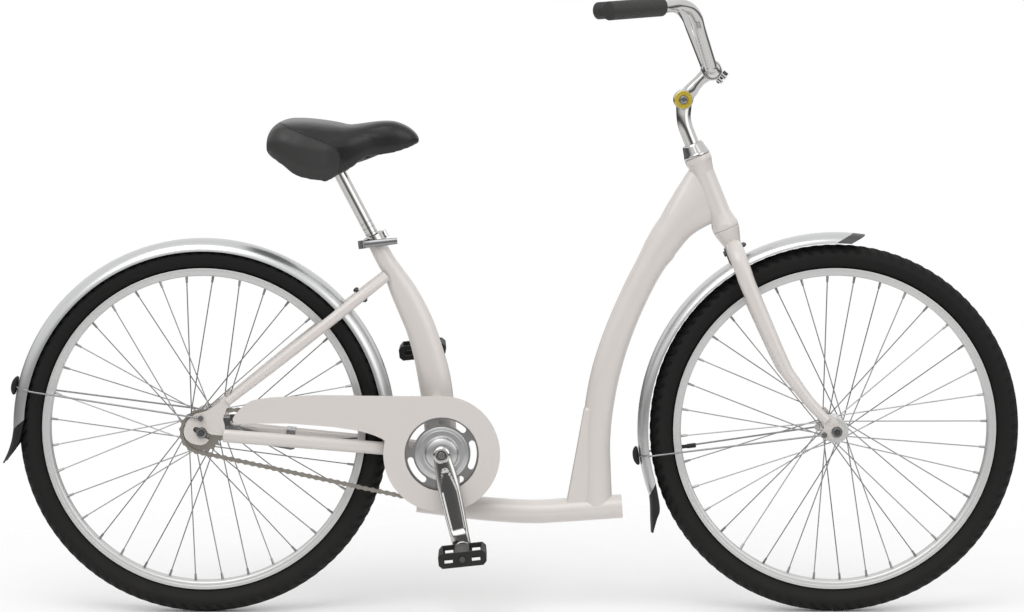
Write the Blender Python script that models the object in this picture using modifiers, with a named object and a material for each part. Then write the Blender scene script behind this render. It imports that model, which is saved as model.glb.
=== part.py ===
"""A step-through utility bicycle, as an assembly of separate pieces.

Sizes are in metres. Places on the bicycle are (x, y, z) with x forward of the rear axle, y to the left of the
centre plane and z above the ground. The right side, which carries the chain, has negative y.
The empty called bike carries that frame. Each moving body has an empty of its own on its joint's axis, and
its pieces are modelled in that empty's frame.
"""
import math

import bmesh
import bpy
from mathutils import Matrix, Vector

# Clearances
GAP = 0.0003
RUN = 0.0003
WELD = 0.0000002

# Wheels
WHEELBASE = 1.114
TYRE_R = 0.3265
TYRE_WIDTH = 0.047
TYRE_WALL = 0.003
TREAD_WALL = 0.0045
TYRE_HEIGHT = 0.041
RIM_R = TYRE_R - TYRE_HEIGHT
RIM_WIDTH = 0.030
RIM_DEPTH = 0.0138
RIM_BED_DEPTH = 0.0085
RIM_WALL = 0.002
WHEEL_SIDES = 32
TUBE_R = 0.012
VALVE_R = 0.003
VALVE_TIP_R = RIM_R - 0.0395
SPOKE_R = 0.001
SPOKES_PER_FLANGE = 18
SPOKE_SWEEP = 60.0
FRONT_VALVE_ANGLE = 187.0
REAR_VALVE_ANGLE = -5.0
FRONT_SPOKE_ANGLE = 2.8
REAR_SPOKE_ANGLE = 6.3

# Hubs and axles
FRONT_HUB_WIDTH = 0.100
FRONT_AXLE_R = 0.0045
FRONT_CORE_R = 0.008
FRONT_AXLE_LENGTH = 0.134
FRONT_FLANGE_R = 0.0225
REAR_HUB_WIDTH = 0.110
REAR_AXLE_R = 0.005
REAR_CORE_R = 0.009
REAR_AXLE_LENGTH = 0.144
REAR_FLANGE_R = 0.0315
DROPOUT_THICKNESS = 0.005
WASHER_R = 0.010
WASHER_THICKNESS = 0.0015
AXLE_NUT_R = 0.00866
AXLE_NUT_HEIGHT = 0.007

# Chain drive
CHAIN_PITCH = 0.0127
RING_TEETH = 44
SPROCKET_TEETH = 18
CHAIN_LINKS = 98
CHAIN_LINE = 0.047
TOOTH_THICKNESS = 0.0026
BRACKET_DROP = 0.0385
CRANK_LENGTH = 0.170
CRANK_ANGLE = 12.7
SPINDLE_R = 0.0085
SPINDLE_SQUARE = 0.0064
SPINDLE_HALF_LENGTH = 0.066
CARTRIDGE_R = 0.0171
SHELL_R = 0.021
SHELL_WIDTH = 0.068
SPIDER_R = 0.0473
CRANK_HUB_R = 0.020
PEDAL_AXLE_R = 0.0067
PEDAL_PIN_R = 0.0055
PEDAL_LENGTH = 0.083
PEDAL_HEIGHT = 0.026
PEDAL_INNER = 0.092
PEDAL_OUTER = 0.184
PEDAL_TILT = 6.0

# Frame
SEAT_LEAN = 27.5
POST_R = 0.0111
POST_INSERTION = 0.125
SEAT_DROP = 0.065
SEAT_TUBE_TOP_R = 0.015
KEEL_R = 0.021
STEERING_ANGLE = 22.1
FORK_RAKE = 0.0455
HEAD_TUBE_START = 0.401
HEAD_TUBE_END = 0.538
HEAD_TUBE_R = 0.0185
HEAD_FLARE_R = 0.0235
HEAD_BORE_R = 0.0155
STEERER_R = 0.0143
STEERER_TOP = 0.558
CROWN_TOP = 0.4007
QUILL_R = 0.01245
BEARING_R = 0.0202
BEARING_HEIGHT = 0.0076

# Cockpit
STEM_PIVOT = (0.0145, 0.640)
BAR_CENTRE = (0.0796, 0.6693)
BAR_R = 0.0111
BAR_CENTRE_R = 0.0127
BAR_HALF_WIDTH = 0.300
GRIP_R = 0.016
GRIP_LENGTH = 0.122

# Saddle
SADDLE_PIVOT_HEIGHT = 0.1533
RAIL_R = 0.0035
RAIL_SPREAD = 0.022

# Mudguards
FENDER_THICKNESS = 0.0018
FENDER_HALF_WIDTH = 0.0285
FRONT_CROWN_R = TYRE_R + 0.0215
FRONT_EDGE_R = FRONT_CROWN_R - 0.018
REAR_CROWN_R = TYRE_R + 0.0115
REAR_EDGE_R = REAR_CROWN_R - 0.022
STAY_WIRE_R = 0.002
REAR_FLAP_REACH = REAR_CROWN_R + 0.018

# Places that follow from the sizes above
AXLE_X = -(WHEELBASE + TYRE_R - REAR_FLAP_REACH) / 2
REAR_AXLE = Vector((0.0, 0.0, TYRE_R))
FRONT_AXLE = Vector((WHEELBASE, 0.0, TYRE_R))
LEAN = math.radians(SEAT_LEAN)
STEER = math.radians(STEERING_ANGLE)
STEER_FORWARD = Vector((math.cos(STEER), 0.0, math.sin(STEER)))
STEER_UP = Vector((-math.sin(STEER), 0.0, math.cos(STEER)))
STEER_FOOT = FRONT_AXLE - STEER_FORWARD * FORK_RAKE
POST_UP = Vector((-math.sin(LEAN), 0.0, math.cos(LEAN)))
RING_R = CHAIN_PITCH / (2 * math.sin(math.pi / RING_TEETH))
SPROCKET_R = CHAIN_PITCH / (2 * math.sin(math.pi / SPROCKET_TEETH))


def drive_spacing():
    """The distance from crank to rear axle that the chain's links fill without slack.

    An open belt on pitch radii R and r, a distance C apart, leans by a with sin a = (R - r) / C. It is
    2 C cos a long on its straight runs and pi (R + r) + 2 a (R - r) long on its arcs.
    """
    low = RING_R + SPROCKET_R
    high = CHAIN_LINKS * CHAIN_PITCH / 2
    for _ in range(60):
        middle = (low + high) / 2
        lean = math.asin((RING_R - SPROCKET_R) / middle)
        straight = 2 * middle * math.cos(lean) / CHAIN_PITCH
        wrapped = (RING_TEETH + SPROCKET_TEETH) / 2 + (RING_TEETH - SPROCKET_TEETH) * lean / math.pi
        if straight + wrapped < CHAIN_LINKS:
            low = middle
        else:
            high = middle
    return (low + high) / 2


DRIVE_SPACING = drive_spacing()
CHAIN_LEAN = math.asin((RING_R - SPROCKET_R) / DRIVE_SPACING)
BRACKET_X = math.sqrt(DRIVE_SPACING ** 2 - BRACKET_DROP ** 2)
BRACKET = Vector((BRACKET_X, 0.0, TYRE_R - BRACKET_DROP))
FRONT_CENTRE = WHEELBASE - BRACKET_X
KEEL_SHARE = FRONT_CENTRE / 0.69358

for old in list(bpy.data.objects):
    bpy.data.objects.remove(old)
SOLIDS = bpy.data.collections.new("step_through_bicycle")
bpy.context.scene.collection.children.link(SOLIDS)


# Surfaces

def surface(name, colour, roughness, metallic):
    """A plain surface: one colour, one roughness, metal or not."""
    found = bpy.data.materials.get(name)
    if found:
        return found
    made = bpy.data.materials.new(name)
    made.use_nodes = True
    shader = made.node_tree.nodes["Principled BSDF"]
    shader.inputs["Base Color"].default_value = (*colour, 1.0)
    shader.inputs["Roughness"].default_value = roughness
    shader.inputs["Metallic"].default_value = metallic
    made.diffuse_color = (*colour, 1.0)
    return made


def pearl_paint():
    """The frame's warm white paint."""
    return surface("pearl paint", (0.75, 0.68, 0.64), 0.30, 0.25)


def silver_paint():
    """The mudguards' silver."""
    return surface("silver paint", (0.58, 0.60, 0.62), 0.35, 0.60)


def polished_metal():
    """Bright plated steel: stem, bar, post and cranks."""
    return surface("polished metal", (0.80, 0.81, 0.83), 0.12, 1.0)


def satin_aluminium():
    """Rims and hub shells."""
    return surface("satin aluminium", (0.55, 0.56, 0.57), 0.45, 0.9)


def dark_steel():
    """Chain, bolts and small brackets."""
    return surface("dark steel", (0.10, 0.10, 0.11), 0.40, 0.8)


def tyre_rubber():
    """Tyres and inner tubes."""
    return surface("tyre rubber", (0.018, 0.018, 0.019), 0.85, 0.0)


def black_plastic():
    """Pedals, stay caps and mud flaps."""
    return surface("black plastic", (0.022, 0.022, 0.024), 0.50, 0.0)


def grey_grip():
    """The dark grey of the grips."""
    return surface("grey grip", (0.055, 0.052, 0.050), 0.75, 0.0)


def saddle_skin():
    """The saddle's black cover."""
    return surface("saddle skin", (0.020, 0.019, 0.019), 0.55, 0.0)


def yellow_plastic():
    """The ring round the stem's pivot."""
    return surface("yellow plastic", (0.72, 0.45, 0.04), 0.40, 0.0)


# Building blocks

def new_object(name, mesh):
    """An object for a mesh or curve, in the bicycle's collection."""
    made = bpy.data.objects.new(name, mesh)
    SOLIDS.objects.link(made)
    return made


def mesh_object(name, points, edges, faces):
    """An object from points and either edges or faces."""
    mesh = bpy.data.meshes.new(name)
    mesh.from_pydata([tuple(point) for point in points], edges, faces)
    mesh.update()
    return new_object(name, mesh)


def baked(obj):
    """The object as a plain welded mesh in its body's frame, with its modifiers and placement applied."""
    bpy.context.view_layer.update()
    depsgraph = bpy.context.evaluated_depsgraph_get()
    mesh = bpy.data.meshes.new_from_object(obj.evaluated_get(depsgraph))
    work = bmesh.new()
    work.from_mesh(mesh)
    work.transform(obj.matrix_world)
    bmesh.ops.remove_doubles(work, verts=work.verts, dist=WELD)
    loose = [vertex for vertex in work.verts if not vertex.link_faces]
    bmesh.ops.delete(work, geom=loose, context="VERTS")
    bmesh.ops.recalc_face_normals(work, faces=work.faces)
    work.to_mesh(mesh)
    work.free()
    name = obj.name
    bpy.data.objects.remove(obj)
    return new_object(name, mesh)


def combined(obj, tools, operation):
    """The object after a Boolean with each tool in turn, which is used up."""
    for tool in tools:
        step = obj.modifiers.new("combine", "BOOLEAN")
        step.operation = operation
        step.solver = "EXACT"
        step.use_self = tool.name.startswith("spokes")
        step.object = tool
        obj = baked(obj)
        bpy.data.objects.remove(tool)
    return obj


def cut(obj, *tools):
    """The object less its tools."""
    return combined(obj, tools, "DIFFERENCE")


def joined(obj, *tools):
    """The object and its tools as one body."""
    return combined(obj, tools, "UNION")


def moved(obj, offset=(0, 0, 0), turn_y=0.0, about=(0, 0, 0)):
    """The object turned about an axis along Y through a point, then moved."""
    centre = Vector(about)
    turn = Matrix.Translation(centre) @ Matrix.Rotation(turn_y, 4, "Y") @ Matrix.Translation(-centre)
    obj.data.transform(Matrix.Translation(Vector(offset)) @ turn)
    return obj


def mirrored(obj, name):
    """A copy on the bicycle's other side."""
    mesh = obj.data.copy()
    mesh.transform(Matrix.Scale(-1.0, 4, Vector((0.0, 1.0, 0.0))))
    mesh.flip_normals()
    return new_object(name, mesh)


def finished(obj, look, carrier):
    """The object with its surface, smooth where it is round, carried by its body's empty."""
    obj.data.materials.clear()
    obj.data.materials.append(look)
    obj.data.shade_smooth()
    obj.data.set_sharp_from_angle(angle=math.radians(32))
    obj.parent = carrier
    return obj


def empty(name, carrier=None, place=(0, 0, 0), turn_y=0.0):
    """An empty that carries a body."""
    made = bpy.data.objects.new(name, None)
    made.empty_display_size = 0.04
    made.location = place
    made.rotation_euler.y = turn_y
    made.parent = carrier
    SOLIDS.objects.link(made)
    return made


def cylinder(name, start, end, radius, sides=12, end_radius=None):
    """A round bar or cone between two points."""
    first = Vector(start)
    along = Vector(end) - first
    turn = along.to_track_quat("Z", "Y").to_matrix().to_4x4()
    work = bmesh.new()
    bmesh.ops.create_cone(
        work,
        cap_ends=True,
        segments=sides,
        radius1=radius,
        radius2=radius if end_radius is None else end_radius,
        depth=along.length,
        matrix=Matrix.Translation(first + along / 2) @ turn,
    )
    mesh = bpy.data.meshes.new(name)
    work.to_mesh(mesh)
    work.free()
    return new_object(name, mesh)


def crossbar(name, x, z, y_from, y_to, radius, sides=12):
    """A round bar along Y."""
    return cylinder(name, (x, y_from, z), (x, y_to, z), radius, sides)


def box(name, low, high):
    """A block between two corners."""
    size = [b - a for a, b in zip(low, high)]
    middle = [(a + b) / 2 for a, b in zip(low, high)]
    work = bmesh.new()
    bmesh.ops.create_cube(work, size=1.0, matrix=Matrix.LocRotScale(Vector(middle), None, Vector(size)))
    mesh = bpy.data.meshes.new(name)
    work.to_mesh(mesh)
    work.free()
    return new_object(name, mesh)


def turned(name, profile, sides, axis="Y", closed=True):
    """A turned solid, from points (radius, place along the axis). An open profile starts and ends on it."""
    count = len(profile)
    edges = [(index, index + 1) for index in range(count - 1)]
    if closed:
        edges.append((count - 1, 0))
    obj = mesh_object(name, [(radius, 0.0, height) for radius, height in profile], edges, [])
    screw = obj.modifiers.new("turn", "SCREW")
    screw.steps = sides
    screw.render_steps = sides
    screw.use_merge_vertices = True
    screw.merge_threshold = 0.00001
    if axis == "Y":
        obj.rotation_euler.x = -math.pi / 2
    return baked(obj)


def plate(name, outlines, y_from, y_to):
    """A flat piece square to Y. The first outline is its edge and the others are its holes."""
    curve = bpy.data.curves.new(name, "CURVE")
    curve.dimensions = "2D"
    curve.fill_mode = "BOTH"
    curve.extrude = abs(y_to - y_from) / 2
    for outline in outlines:
        spline = curve.splines.new("POLY")
        spline.points.add(len(outline) - 1)
        spline.use_cyclic_u = True
        for point, (x, z) in zip(spline.points, outline):
            point.co = (x, z, 0.0, 1.0)
    obj = new_object(name, curve)
    obj.rotation_euler.x = math.pi / 2
    obj.location.y = (y_from + y_to) / 2
    return baked(obj)


def rod(name, points, radius, resolution=2, radii=None, closed=False):
    """A round wire or tube along points. radii gives a share of the radius at each point."""
    curve = bpy.data.curves.new(name, "CURVE")
    curve.dimensions = "3D"
    curve.bevel_depth = radius
    curve.bevel_resolution = resolution
    curve.use_fill_caps = True
    spline = curve.splines.new("POLY")
    spline.points.add(len(points) - 1)
    spline.use_cyclic_u = closed
    for index, (point, place) in enumerate(zip(spline.points, points)):
        point.co = (*place, 1.0)
        point.radius = radii[index] if radii else 1.0
    return baked(new_object(name, curve))


def loft(name, rings):
    """A closed skin over rings that have the same number of points."""
    count = len(rings[0])
    points = [point for ring in rings for point in ring]
    faces = []
    for row in range(len(rings) - 1):
        for index in range(count):
            after = (index + 1) % count
            start = row * count
            faces.append((start + index, start + after, start + count + after, start + count + index))
    last = (len(rings) - 1) * count
    faces.append(tuple(range(count)))
    faces.append(tuple(last + index for index in reversed(range(count))))
    return baked(mesh_object(name, points, [], faces))


def oval_ring(centre, side, deep, station, sides, grow):
    """One oval ring in the plane of two directions."""
    ring = []
    for step in range(sides):
        angle = 2 * math.pi * (step + 0.5) / sides
        swing = side * (station[4] + grow) * math.cos(angle)
        rise = deep * (station[3] + grow) * math.sin(angle)
        ring.append(centre + swing + rise)
    return ring


def oval_rings(stations, across, sides, grow=0.0):
    """Rings square to a path. A station is (x, y, z, half size in depth, half size across)."""
    centres = [Vector(station[:3]) for station in stations]
    across = Vector(across)
    rings = []
    for index, (centre, station) in enumerate(zip(centres, stations)):
        before = centres[max(index - 1, 0)]
        after = centres[min(index + 1, len(centres) - 1)]
        along = (after - before).normalized()
        side = (across - along * across.dot(along)).normalized()
        rings.append(oval_ring(centre, side, along.cross(side), station, sides, grow))
    return rings


def oval_tube(name, stations, across=(0, 1, 0), sides=12, grow=0.0):
    """A solid tube with an oval section that changes along its path."""
    return loft(name, oval_rings(stations, across, sides, grow))


def smooth(knots, steps):
    """Points of a curve that runs smoothly through the knots, with some steps from each to the next."""
    first = [2 * a - b for a, b in zip(knots[0], knots[1])]
    last = [2 * a - b for a, b in zip(knots[-1], knots[-2])]
    padded = [first, *knots, last]
    points = []
    for index in range(1, len(padded) - 2):
        span = padded[index - 1:index + 3]
        for step in range(steps):
            points.append(tuple(blend(*values, step / steps) for values in zip(*span)))
    points.append(tuple(knots[-1]))
    return points


def blend(a, b, c, d, t):
    """A Catmull-Rom curve's value between b and c."""
    return b + 0.5 * t * (c - a + t * (2 * a - 5 * b + 4 * c - d + t * (3 * b - a - 3 * c + d)))


def arc(x, z, radius, start, stop, steps):
    """Points on an arc, from one angle to another in degrees, counted from +X toward +Z."""
    angles = [math.radians(start + (stop - start) * step / steps) for step in range(steps + 1)]
    return [(x + radius * math.cos(angle), z + radius * math.sin(angle)) for angle in angles]


def circle(x, z, radius, sides=12):
    """A round outline."""
    return arc(x, z, radius, 0.0, 360.0 - 360.0 / sides, sides - 1)


def polar(radius, angle):
    """The (x, z) place at a radius and an angle in degrees."""
    return radius * math.cos(math.radians(angle)), radius * math.sin(math.radians(angle))


def bore(radius, sides=12, clearance=RUN):
    """The corner radius of a hole whose flats clear a shaft."""
    return (radius + clearance) / math.cos(math.pi / sides)


# Wheels, in a frame at the wheel's centre

BEAD_INSET = 0.0031
BEAD_WALL = 0.0027
SHOULDER_DROP = 0.007
SIDEWALL_RISE = 0.0175


def rim(name, valve_angle):
    """A box-section rim with its tyre well outward and one hole for the valve."""
    edge = RIM_WIDTH / 2
    bed = RIM_R - RIM_BED_DEPTH
    back = RIM_R - RIM_DEPTH
    profile = [(RIM_R, edge), (back, edge - 0.003), (back, 0.003 - edge), (RIM_R, -edge)]
    profile += [(RIM_R, RIM_WALL - edge), (bed, 0.005 - edge), (bed, edge - 0.005), (RIM_R, edge - RIM_WALL)]
    ring = turned(name, profile, WHEEL_SIDES)
    low = polar(back - 0.004, valve_angle)
    high = polar(bed + 0.004, valve_angle)
    hole = cylinder("valve_hole", (low[0], 0, low[1]), (high[0], 0, high[1]), bore(VALVE_R, 8), 8)
    return cut(ring, hole)


def tyre(name):
    """A tyre with its beads in the rim, open inside."""
    half = TYRE_WIDTH / 2
    bead = RIM_WIDTH / 2 - RIM_WALL - BEAD_INSET
    foot = RIM_R - SHOULDER_DROP
    outer = [(foot, bead), (RIM_R + 0.0015, bead + 0.0027), (RIM_R + SIDEWALL_RISE, half)]
    outer += [(TYRE_R - SHOULDER_DROP, half - 0.006), (TYRE_R, 0.0)]
    outer += [(r, -y) for r, y in reversed(outer[:-1])]
    inner = [(foot, BEAD_WALL - bead), (RIM_R + SIDEWALL_RISE, TYRE_WALL - half), (TYRE_R - TREAD_WALL, 0.0)]
    inner += [(RIM_R + SIDEWALL_RISE, half - TYRE_WALL), (foot, bead - BEAD_WALL)]
    return turned(name, outer + inner, WHEEL_SIDES)


def inner_tube(name, valve_angle):
    """The air tube, with its valve through the rim."""
    centre_r = RIM_R + SIDEWALL_RISE - 0.002
    profile = [(centre_r + TUBE_R * math.cos(a), TUBE_R * math.sin(a)) for a in
               (math.radians(60 * step) for step in range(6))]
    ring = turned(name, profile, 12)
    foot = polar(centre_r - TUBE_R / 2, valve_angle)
    tip = polar(VALVE_TIP_R, valve_angle)
    valve = cylinder("valve", (foot[0], 0, foot[1]), (tip[0], 0, tip[1]), VALVE_R, 8)
    return joined(ring, valve)


def spokes(flange_y, hole_circle_r, angle):
    """The spokes of one flange, crossed three times, as loose bars in one mesh."""
    end_r = (RIM_R - RIM_DEPTH) * math.cos(math.pi / WHEEL_SIDES) - GAP
    work = bmesh.new()
    for index in range(SPOKES_PER_FLANGE):
        hole_angle = angle + index * 360.0 / SPOKES_PER_FLANGE
        side = 1 if index % 2 == 0 else -1
        x0, z0 = polar(hole_circle_r, hole_angle)
        x1, z1 = polar(end_r, hole_angle + side * SPOKE_SWEEP)
        start = Vector((x0, flange_y + side * 0.0016, z0))
        along = Vector((x1, math.copysign(0.0025, flange_y), z1)) - start
        place = Matrix.Translation(start + along / 2) @ along.to_track_quat("Z", "Y").to_matrix().to_4x4()
        bmesh.ops.create_cone(work, cap_ends=True, segments=3, radius1=SPOKE_R, radius2=SPOKE_R,
                              depth=along.length, matrix=place)
    mesh = bpy.data.meshes.new("spokes")
    work.to_mesh(mesh)
    work.free()
    return new_object("spokes", mesh)


def hub_and_spokes(name, profile, left_y, right_y, hole_circle_r, angle):
    """A turned hub shell with its spokes."""
    shell = turned(name, profile, 12)
    left = spokes(left_y, hole_circle_r, angle + 180.0 / SPOKES_PER_FLANGE)
    right = spokes(right_y, hole_circle_r, angle)
    return joined(shell, left, right)


def front_hub(name):
    """The slim front hub."""
    face = FRONT_HUB_WIDTH / 2 - 0.010
    hole = bore(FRONT_CORE_R, 12)
    half = [(hole, face), (0.012, face), (0.012, face - 0.004), (FRONT_FLANGE_R, face - 0.004)]
    half += [(FRONT_FLANGE_R, face - 0.009), (0.013, face - 0.012)]
    profile = half + [(r, -y) for r, y in reversed(half)]
    flange_y = face - 0.0065
    return hub_and_spokes(name, profile, flange_y, -flange_y, FRONT_FLANGE_R - 0.0035, FRONT_SPOKE_ANGLE)


def rear_hub(name):
    """The wide rear hub, whose shell holds the coaster brake."""
    hole = bore(REAR_CORE_R, 12)
    profile = [(hole, 0.043), (0.024, 0.043), (0.024, 0.037), (REAR_FLANGE_R, 0.037), (REAR_FLANGE_R, 0.031)]
    profile += [(0.021, 0.028), (0.021, -0.024), (REAR_FLANGE_R, -0.027), (REAR_FLANGE_R, -0.033)]
    profile += [(0.017, -0.033), (0.017, -0.036), (hole, -0.036)]
    return hub_and_spokes(name, profile, 0.034, -0.030, REAR_FLANGE_R - 0.0035, REAR_SPOKE_ANGLE)


def front_axle(name):
    """The front axle with its fixed core."""
    half = FRONT_HUB_WIDTH / 2
    tip = FRONT_AXLE_LENGTH / 2
    profile = [(0, tip), (FRONT_AXLE_R, tip), (FRONT_AXLE_R, half), (FRONT_CORE_R, half)]
    profile += [(r, -y) for r, y in reversed(profile)]
    return turned(name, profile, 8, closed=False)


def rear_axle(name):
    """The rear axle with the coaster brake's core and its two locknuts."""
    face = REAR_HUB_WIDTH / 2
    tip = REAR_AXLE_LENGTH / 2
    r = REAR_AXLE_R
    profile = [(0, tip), (r, tip), (r, face), (0.011, face), (0.011, face - 0.0074), (r, face - 0.0074)]
    profile += [(r, 0.0437), (REAR_CORE_R, 0.0437), (REAR_CORE_R, -0.034), (r, -0.034)]
    profile += [(r, 0.0027 - face), (0.011, 0.0027 - face), (0.011, -face), (r, -face), (r, -tip), (0, -tip)]
    return turned(name, profile, 8, closed=False)


def axle_nut(name, axle_r, inner_y, side):
    """A washer and a six-sided nut on an axle."""
    washer = crossbar(name, 0, 0, side * inner_y, side * (inner_y + WASHER_THICKNESS), WASHER_R, 10)
    top = inner_y + WASHER_THICKNESS + AXLE_NUT_HEIGHT
    nut = crossbar("nut", 0, 0, side * (inner_y + WASHER_THICKNESS / 2), side * top, AXLE_NUT_R, 6)
    hole = crossbar("hole", 0, 0, side * (inner_y - 0.005), side * (top + 0.005), bore(axle_r, 8), 8)
    return cut(joined(washer, nut), hole)


# Chain drive. Angles are counted from +X toward +Z, seen from the right side.

def run_angle():
    """The angle of the line from the rear axle to the bottom bracket."""
    return math.degrees(math.atan2(-BRACKET_DROP, BRACKET_X))


def pin_path():
    """Where the chain's pins lie, in order: (x, z) and the way the chain runs there, from the crank's axis.

    The path goes clockwise round the front of the chainring, back along the lower run, round the sprocket
    and forward along the upper run. Pins lie one pitch apart, measured on the pitch polygons.
    """
    lean = math.degrees(CHAIN_LEAN)
    top = run_angle() + 90 + lean
    sweep = 180 + 2 * lean
    ring_pins = RING_TEETH * sweep / 360
    straight = DRIVE_SPACING * math.cos(CHAIN_LEAN) / CHAIN_PITCH
    back_pins = SPROCKET_TEETH * (360 - sweep) / 360
    centre = (-BRACKET_X, BRACKET_DROP)
    places = []
    for pin in range(CHAIN_LINKS):
        if pin < ring_pins:
            angle = top - pin * 360 / RING_TEETH
            x, z = polar(RING_R, angle)
            heading = angle - 90
        elif pin < ring_pins + straight:
            share = (pin - ring_pins) / straight
            x0, z0 = polar(RING_R, top - sweep)
            x1, z1 = polar(SPROCKET_R, top - sweep)
            x = x0 + (x1 + centre[0] - x0) * share
            z = z0 + (z1 + centre[1] - z0) * share
            heading = top - sweep - 90
        elif pin < ring_pins + straight + back_pins:
            angle = top - sweep - (pin - ring_pins - straight) * 360 / SPROCKET_TEETH
            x, z = polar(SPROCKET_R, angle)
            x += centre[0]
            z += centre[1]
            heading = angle - 90
        else:
            share = (pin - ring_pins - straight - back_pins) / straight
            x0, z0 = polar(SPROCKET_R, top)
            x1, z1 = polar(RING_R, top)
            x = x0 + centre[0] + (x1 - x0 - centre[0]) * share
            z = z0 + centre[1] + (z1 - z0 - centre[1]) * share
            heading = top - 90
        places.append((x, z, heading))
    return places


PIN_HALF_LENGTH = 0.0039
PLATE_HALF_HEIGHT = 0.0041
INNER_FACE = 0.0017
PLATE_FACE = 0.0029
OUTER_FACE = 0.0041


def chain(name):
    """A roller chain as one body: rollers, and inner and outer plates in turn, joined at their pins.

    Each pin has four corners, ahead, above, behind and below it, repeated in layers across the chain. An
    inner plate runs from its first pin's middle to its next, and an outer plate laps a little past both of
    its pins, so the two share a triangle at each pin. A roller is the prism of that triangle between the
    inner plates.
    """
    layers = (-OUTER_FACE, -PLATE_FACE, -INNER_FACE, INNER_FACE, PLATE_FACE, OUTER_FACE)
    points = []
    corner = {}
    for pin, (x, z, heading) in enumerate(pin_path()):
        tx, tz = polar(PIN_HALF_LENGTH, heading)
        nx, nz = polar(PLATE_HALF_HEIGHT, heading + 90)
        spots = {"ahead": (x + tx, z + tz), "above": (x + nx, z + nz),
                 "behind": (x - tx, z - tz), "below": (x - nx, z - nz)}
        for layer, y in enumerate(layers):
            for spot, (px, pz) in spots.items():
                corner[pin, layer, spot] = len(points)
                points.append((px, y - CHAIN_LINE, pz))
    faces = []

    def outline(spots, layer):
        return [corner[pin, layer, spot] for pin, spot in spots]

    def band(spots, layer_a, layer_b):
        ring_a = outline(spots, layer_a)
        ring_b = outline(spots, layer_b)
        for index in range(len(ring_a)):
            after = (index + 1) % len(ring_a)
            faces.append((ring_a[index], ring_a[after], ring_b[after], ring_b[index]))

    for pin in range(CHAIN_LINKS):
        after = (pin + 1) % CHAIN_LINKS
        middle = [(pin, "above"), (after, "above"), (after, "below"), (pin, "below")]
        if pin % 2 == 0:
            band([(pin, "above"), (pin, "ahead"), (pin, "below")], 2, 3)
            band([(after, "above"), (after, "behind"), (after, "below")], 2, 3)
            notched = middle[:2] + [(after, "behind")] + middle[2:] + [(pin, "ahead")]
            for near, far in ((2, 1), (3, 4)):
                band(middle, near, far)
                faces.append(tuple(outline(notched, near)))
                faces.append(tuple(outline(notched, far)))
        else:
            lapped = [(pin, "behind")] + middle[:2] + [(after, "ahead")] + middle[2:]
            for near, far in ((1, 0), (4, 5)):
                band(lapped, near, far)
                faces.append(tuple(outline(middle, near)))
                faces.append(tuple(outline(lapped, far)))
    return baked(mesh_object(name, points, [], faces))


TOOTH_ROOT = 0.0044
TOOTH_RISE = 0.0030
ROOT_HALF = 0.0026
TIP_HALF = 0.0010


def toothed_outline(teeth, pitch_r, first_valley):
    """A sprocket's edge: a flat valley under each pin and a tapered tooth between."""
    step = 360.0 / teeth
    root_r = pitch_r - TOOTH_ROOT
    tip_r = pitch_r + TOOTH_RISE
    root = math.degrees(ROOT_HALF / root_r)
    tip = math.degrees(TIP_HALF / tip_r)
    outline = []
    for index in range(teeth):
        valley = first_valley + index * step
        outline += [polar(root_r, valley - root), polar(root_r, valley + root)]
        outline += [polar(tip_r, valley + step / 2 - tip), polar(tip_r, valley + step / 2 + tip)]
    return outline


def ring_window(inner_r, outer_r, middle, width):
    """A curved slot with blunt ends."""
    start = middle - width / 2
    stop = middle + width / 2
    outline = arc(0, 0, outer_r, start, stop, 3)
    outline.append(polar((inner_r + outer_r) / 2, stop + 3))
    outline += arc(0, 0, inner_r, stop, start, 3)
    outline.append(polar((inner_r + outer_r) / 2, start - 3))
    return outline


def chainring(name):
    """The toothed ring with its five windows, on the right crank's hub."""
    first = run_angle() + 90 + math.degrees(CHAIN_LEAN)
    outlines = [toothed_outline(RING_TEETH, RING_R, first), circle(0, 0, bore(CRANK_HUB_R, 16), 16)]
    for index in range(5):
        outlines.append(ring_window(0.050, 0.062, -2.7 + 72 * index, 42.0))
    half = TOOTH_THICKNESS / 2
    return plate(name, outlines, -CHAIN_LINE - half, half - CHAIN_LINE)


def rear_sprocket(name):
    """The sprocket on its driver, which turns on the rear axle."""
    lean = math.degrees(CHAIN_LEAN)
    leaving = run_angle() - 90 - lean
    pins = RING_TEETH * (180 + 2 * lean) / 360 + DRIVE_SPACING * math.cos(CHAIN_LEAN) / CHAIN_PITCH
    first = leaving + pins * 360 / SPROCKET_TEETH
    half = TOOTH_THICKNESS / 2
    edge = toothed_outline(SPROCKET_TEETH, SPROCKET_R, first)
    disc = plate(name, [edge, circle(0, 0, 0.0125, 12)], -CHAIN_LINE - half, half - CHAIN_LINE)
    face = REAR_HUB_WIDTH / 2
    profile = [(0.012, 0.003 - face), (0.014, 0.0045 - face), (0.014, -0.0364)]
    hole_r = bore(REAR_AXLE_R, 12)
    profile += [(hole_r, -0.0364), (hole_r, 0.003 - face)]
    driver = turned("driver", profile, 12)
    return joined(disc, driver)


def cartridge(name):
    """The bottom bracket's sealed bearing unit."""
    flange_y = SHELL_WIDTH / 2 + GAP
    hole = bore(SPINDLE_R, 12)
    half = [(hole, flange_y + 0.0022), (0.0195, flange_y + 0.0022), (0.0195, flange_y),
            (CARTRIDGE_R, flange_y)]
    return turned(name, half + [(r, -y) for r, y in reversed(half)], 12)


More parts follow.
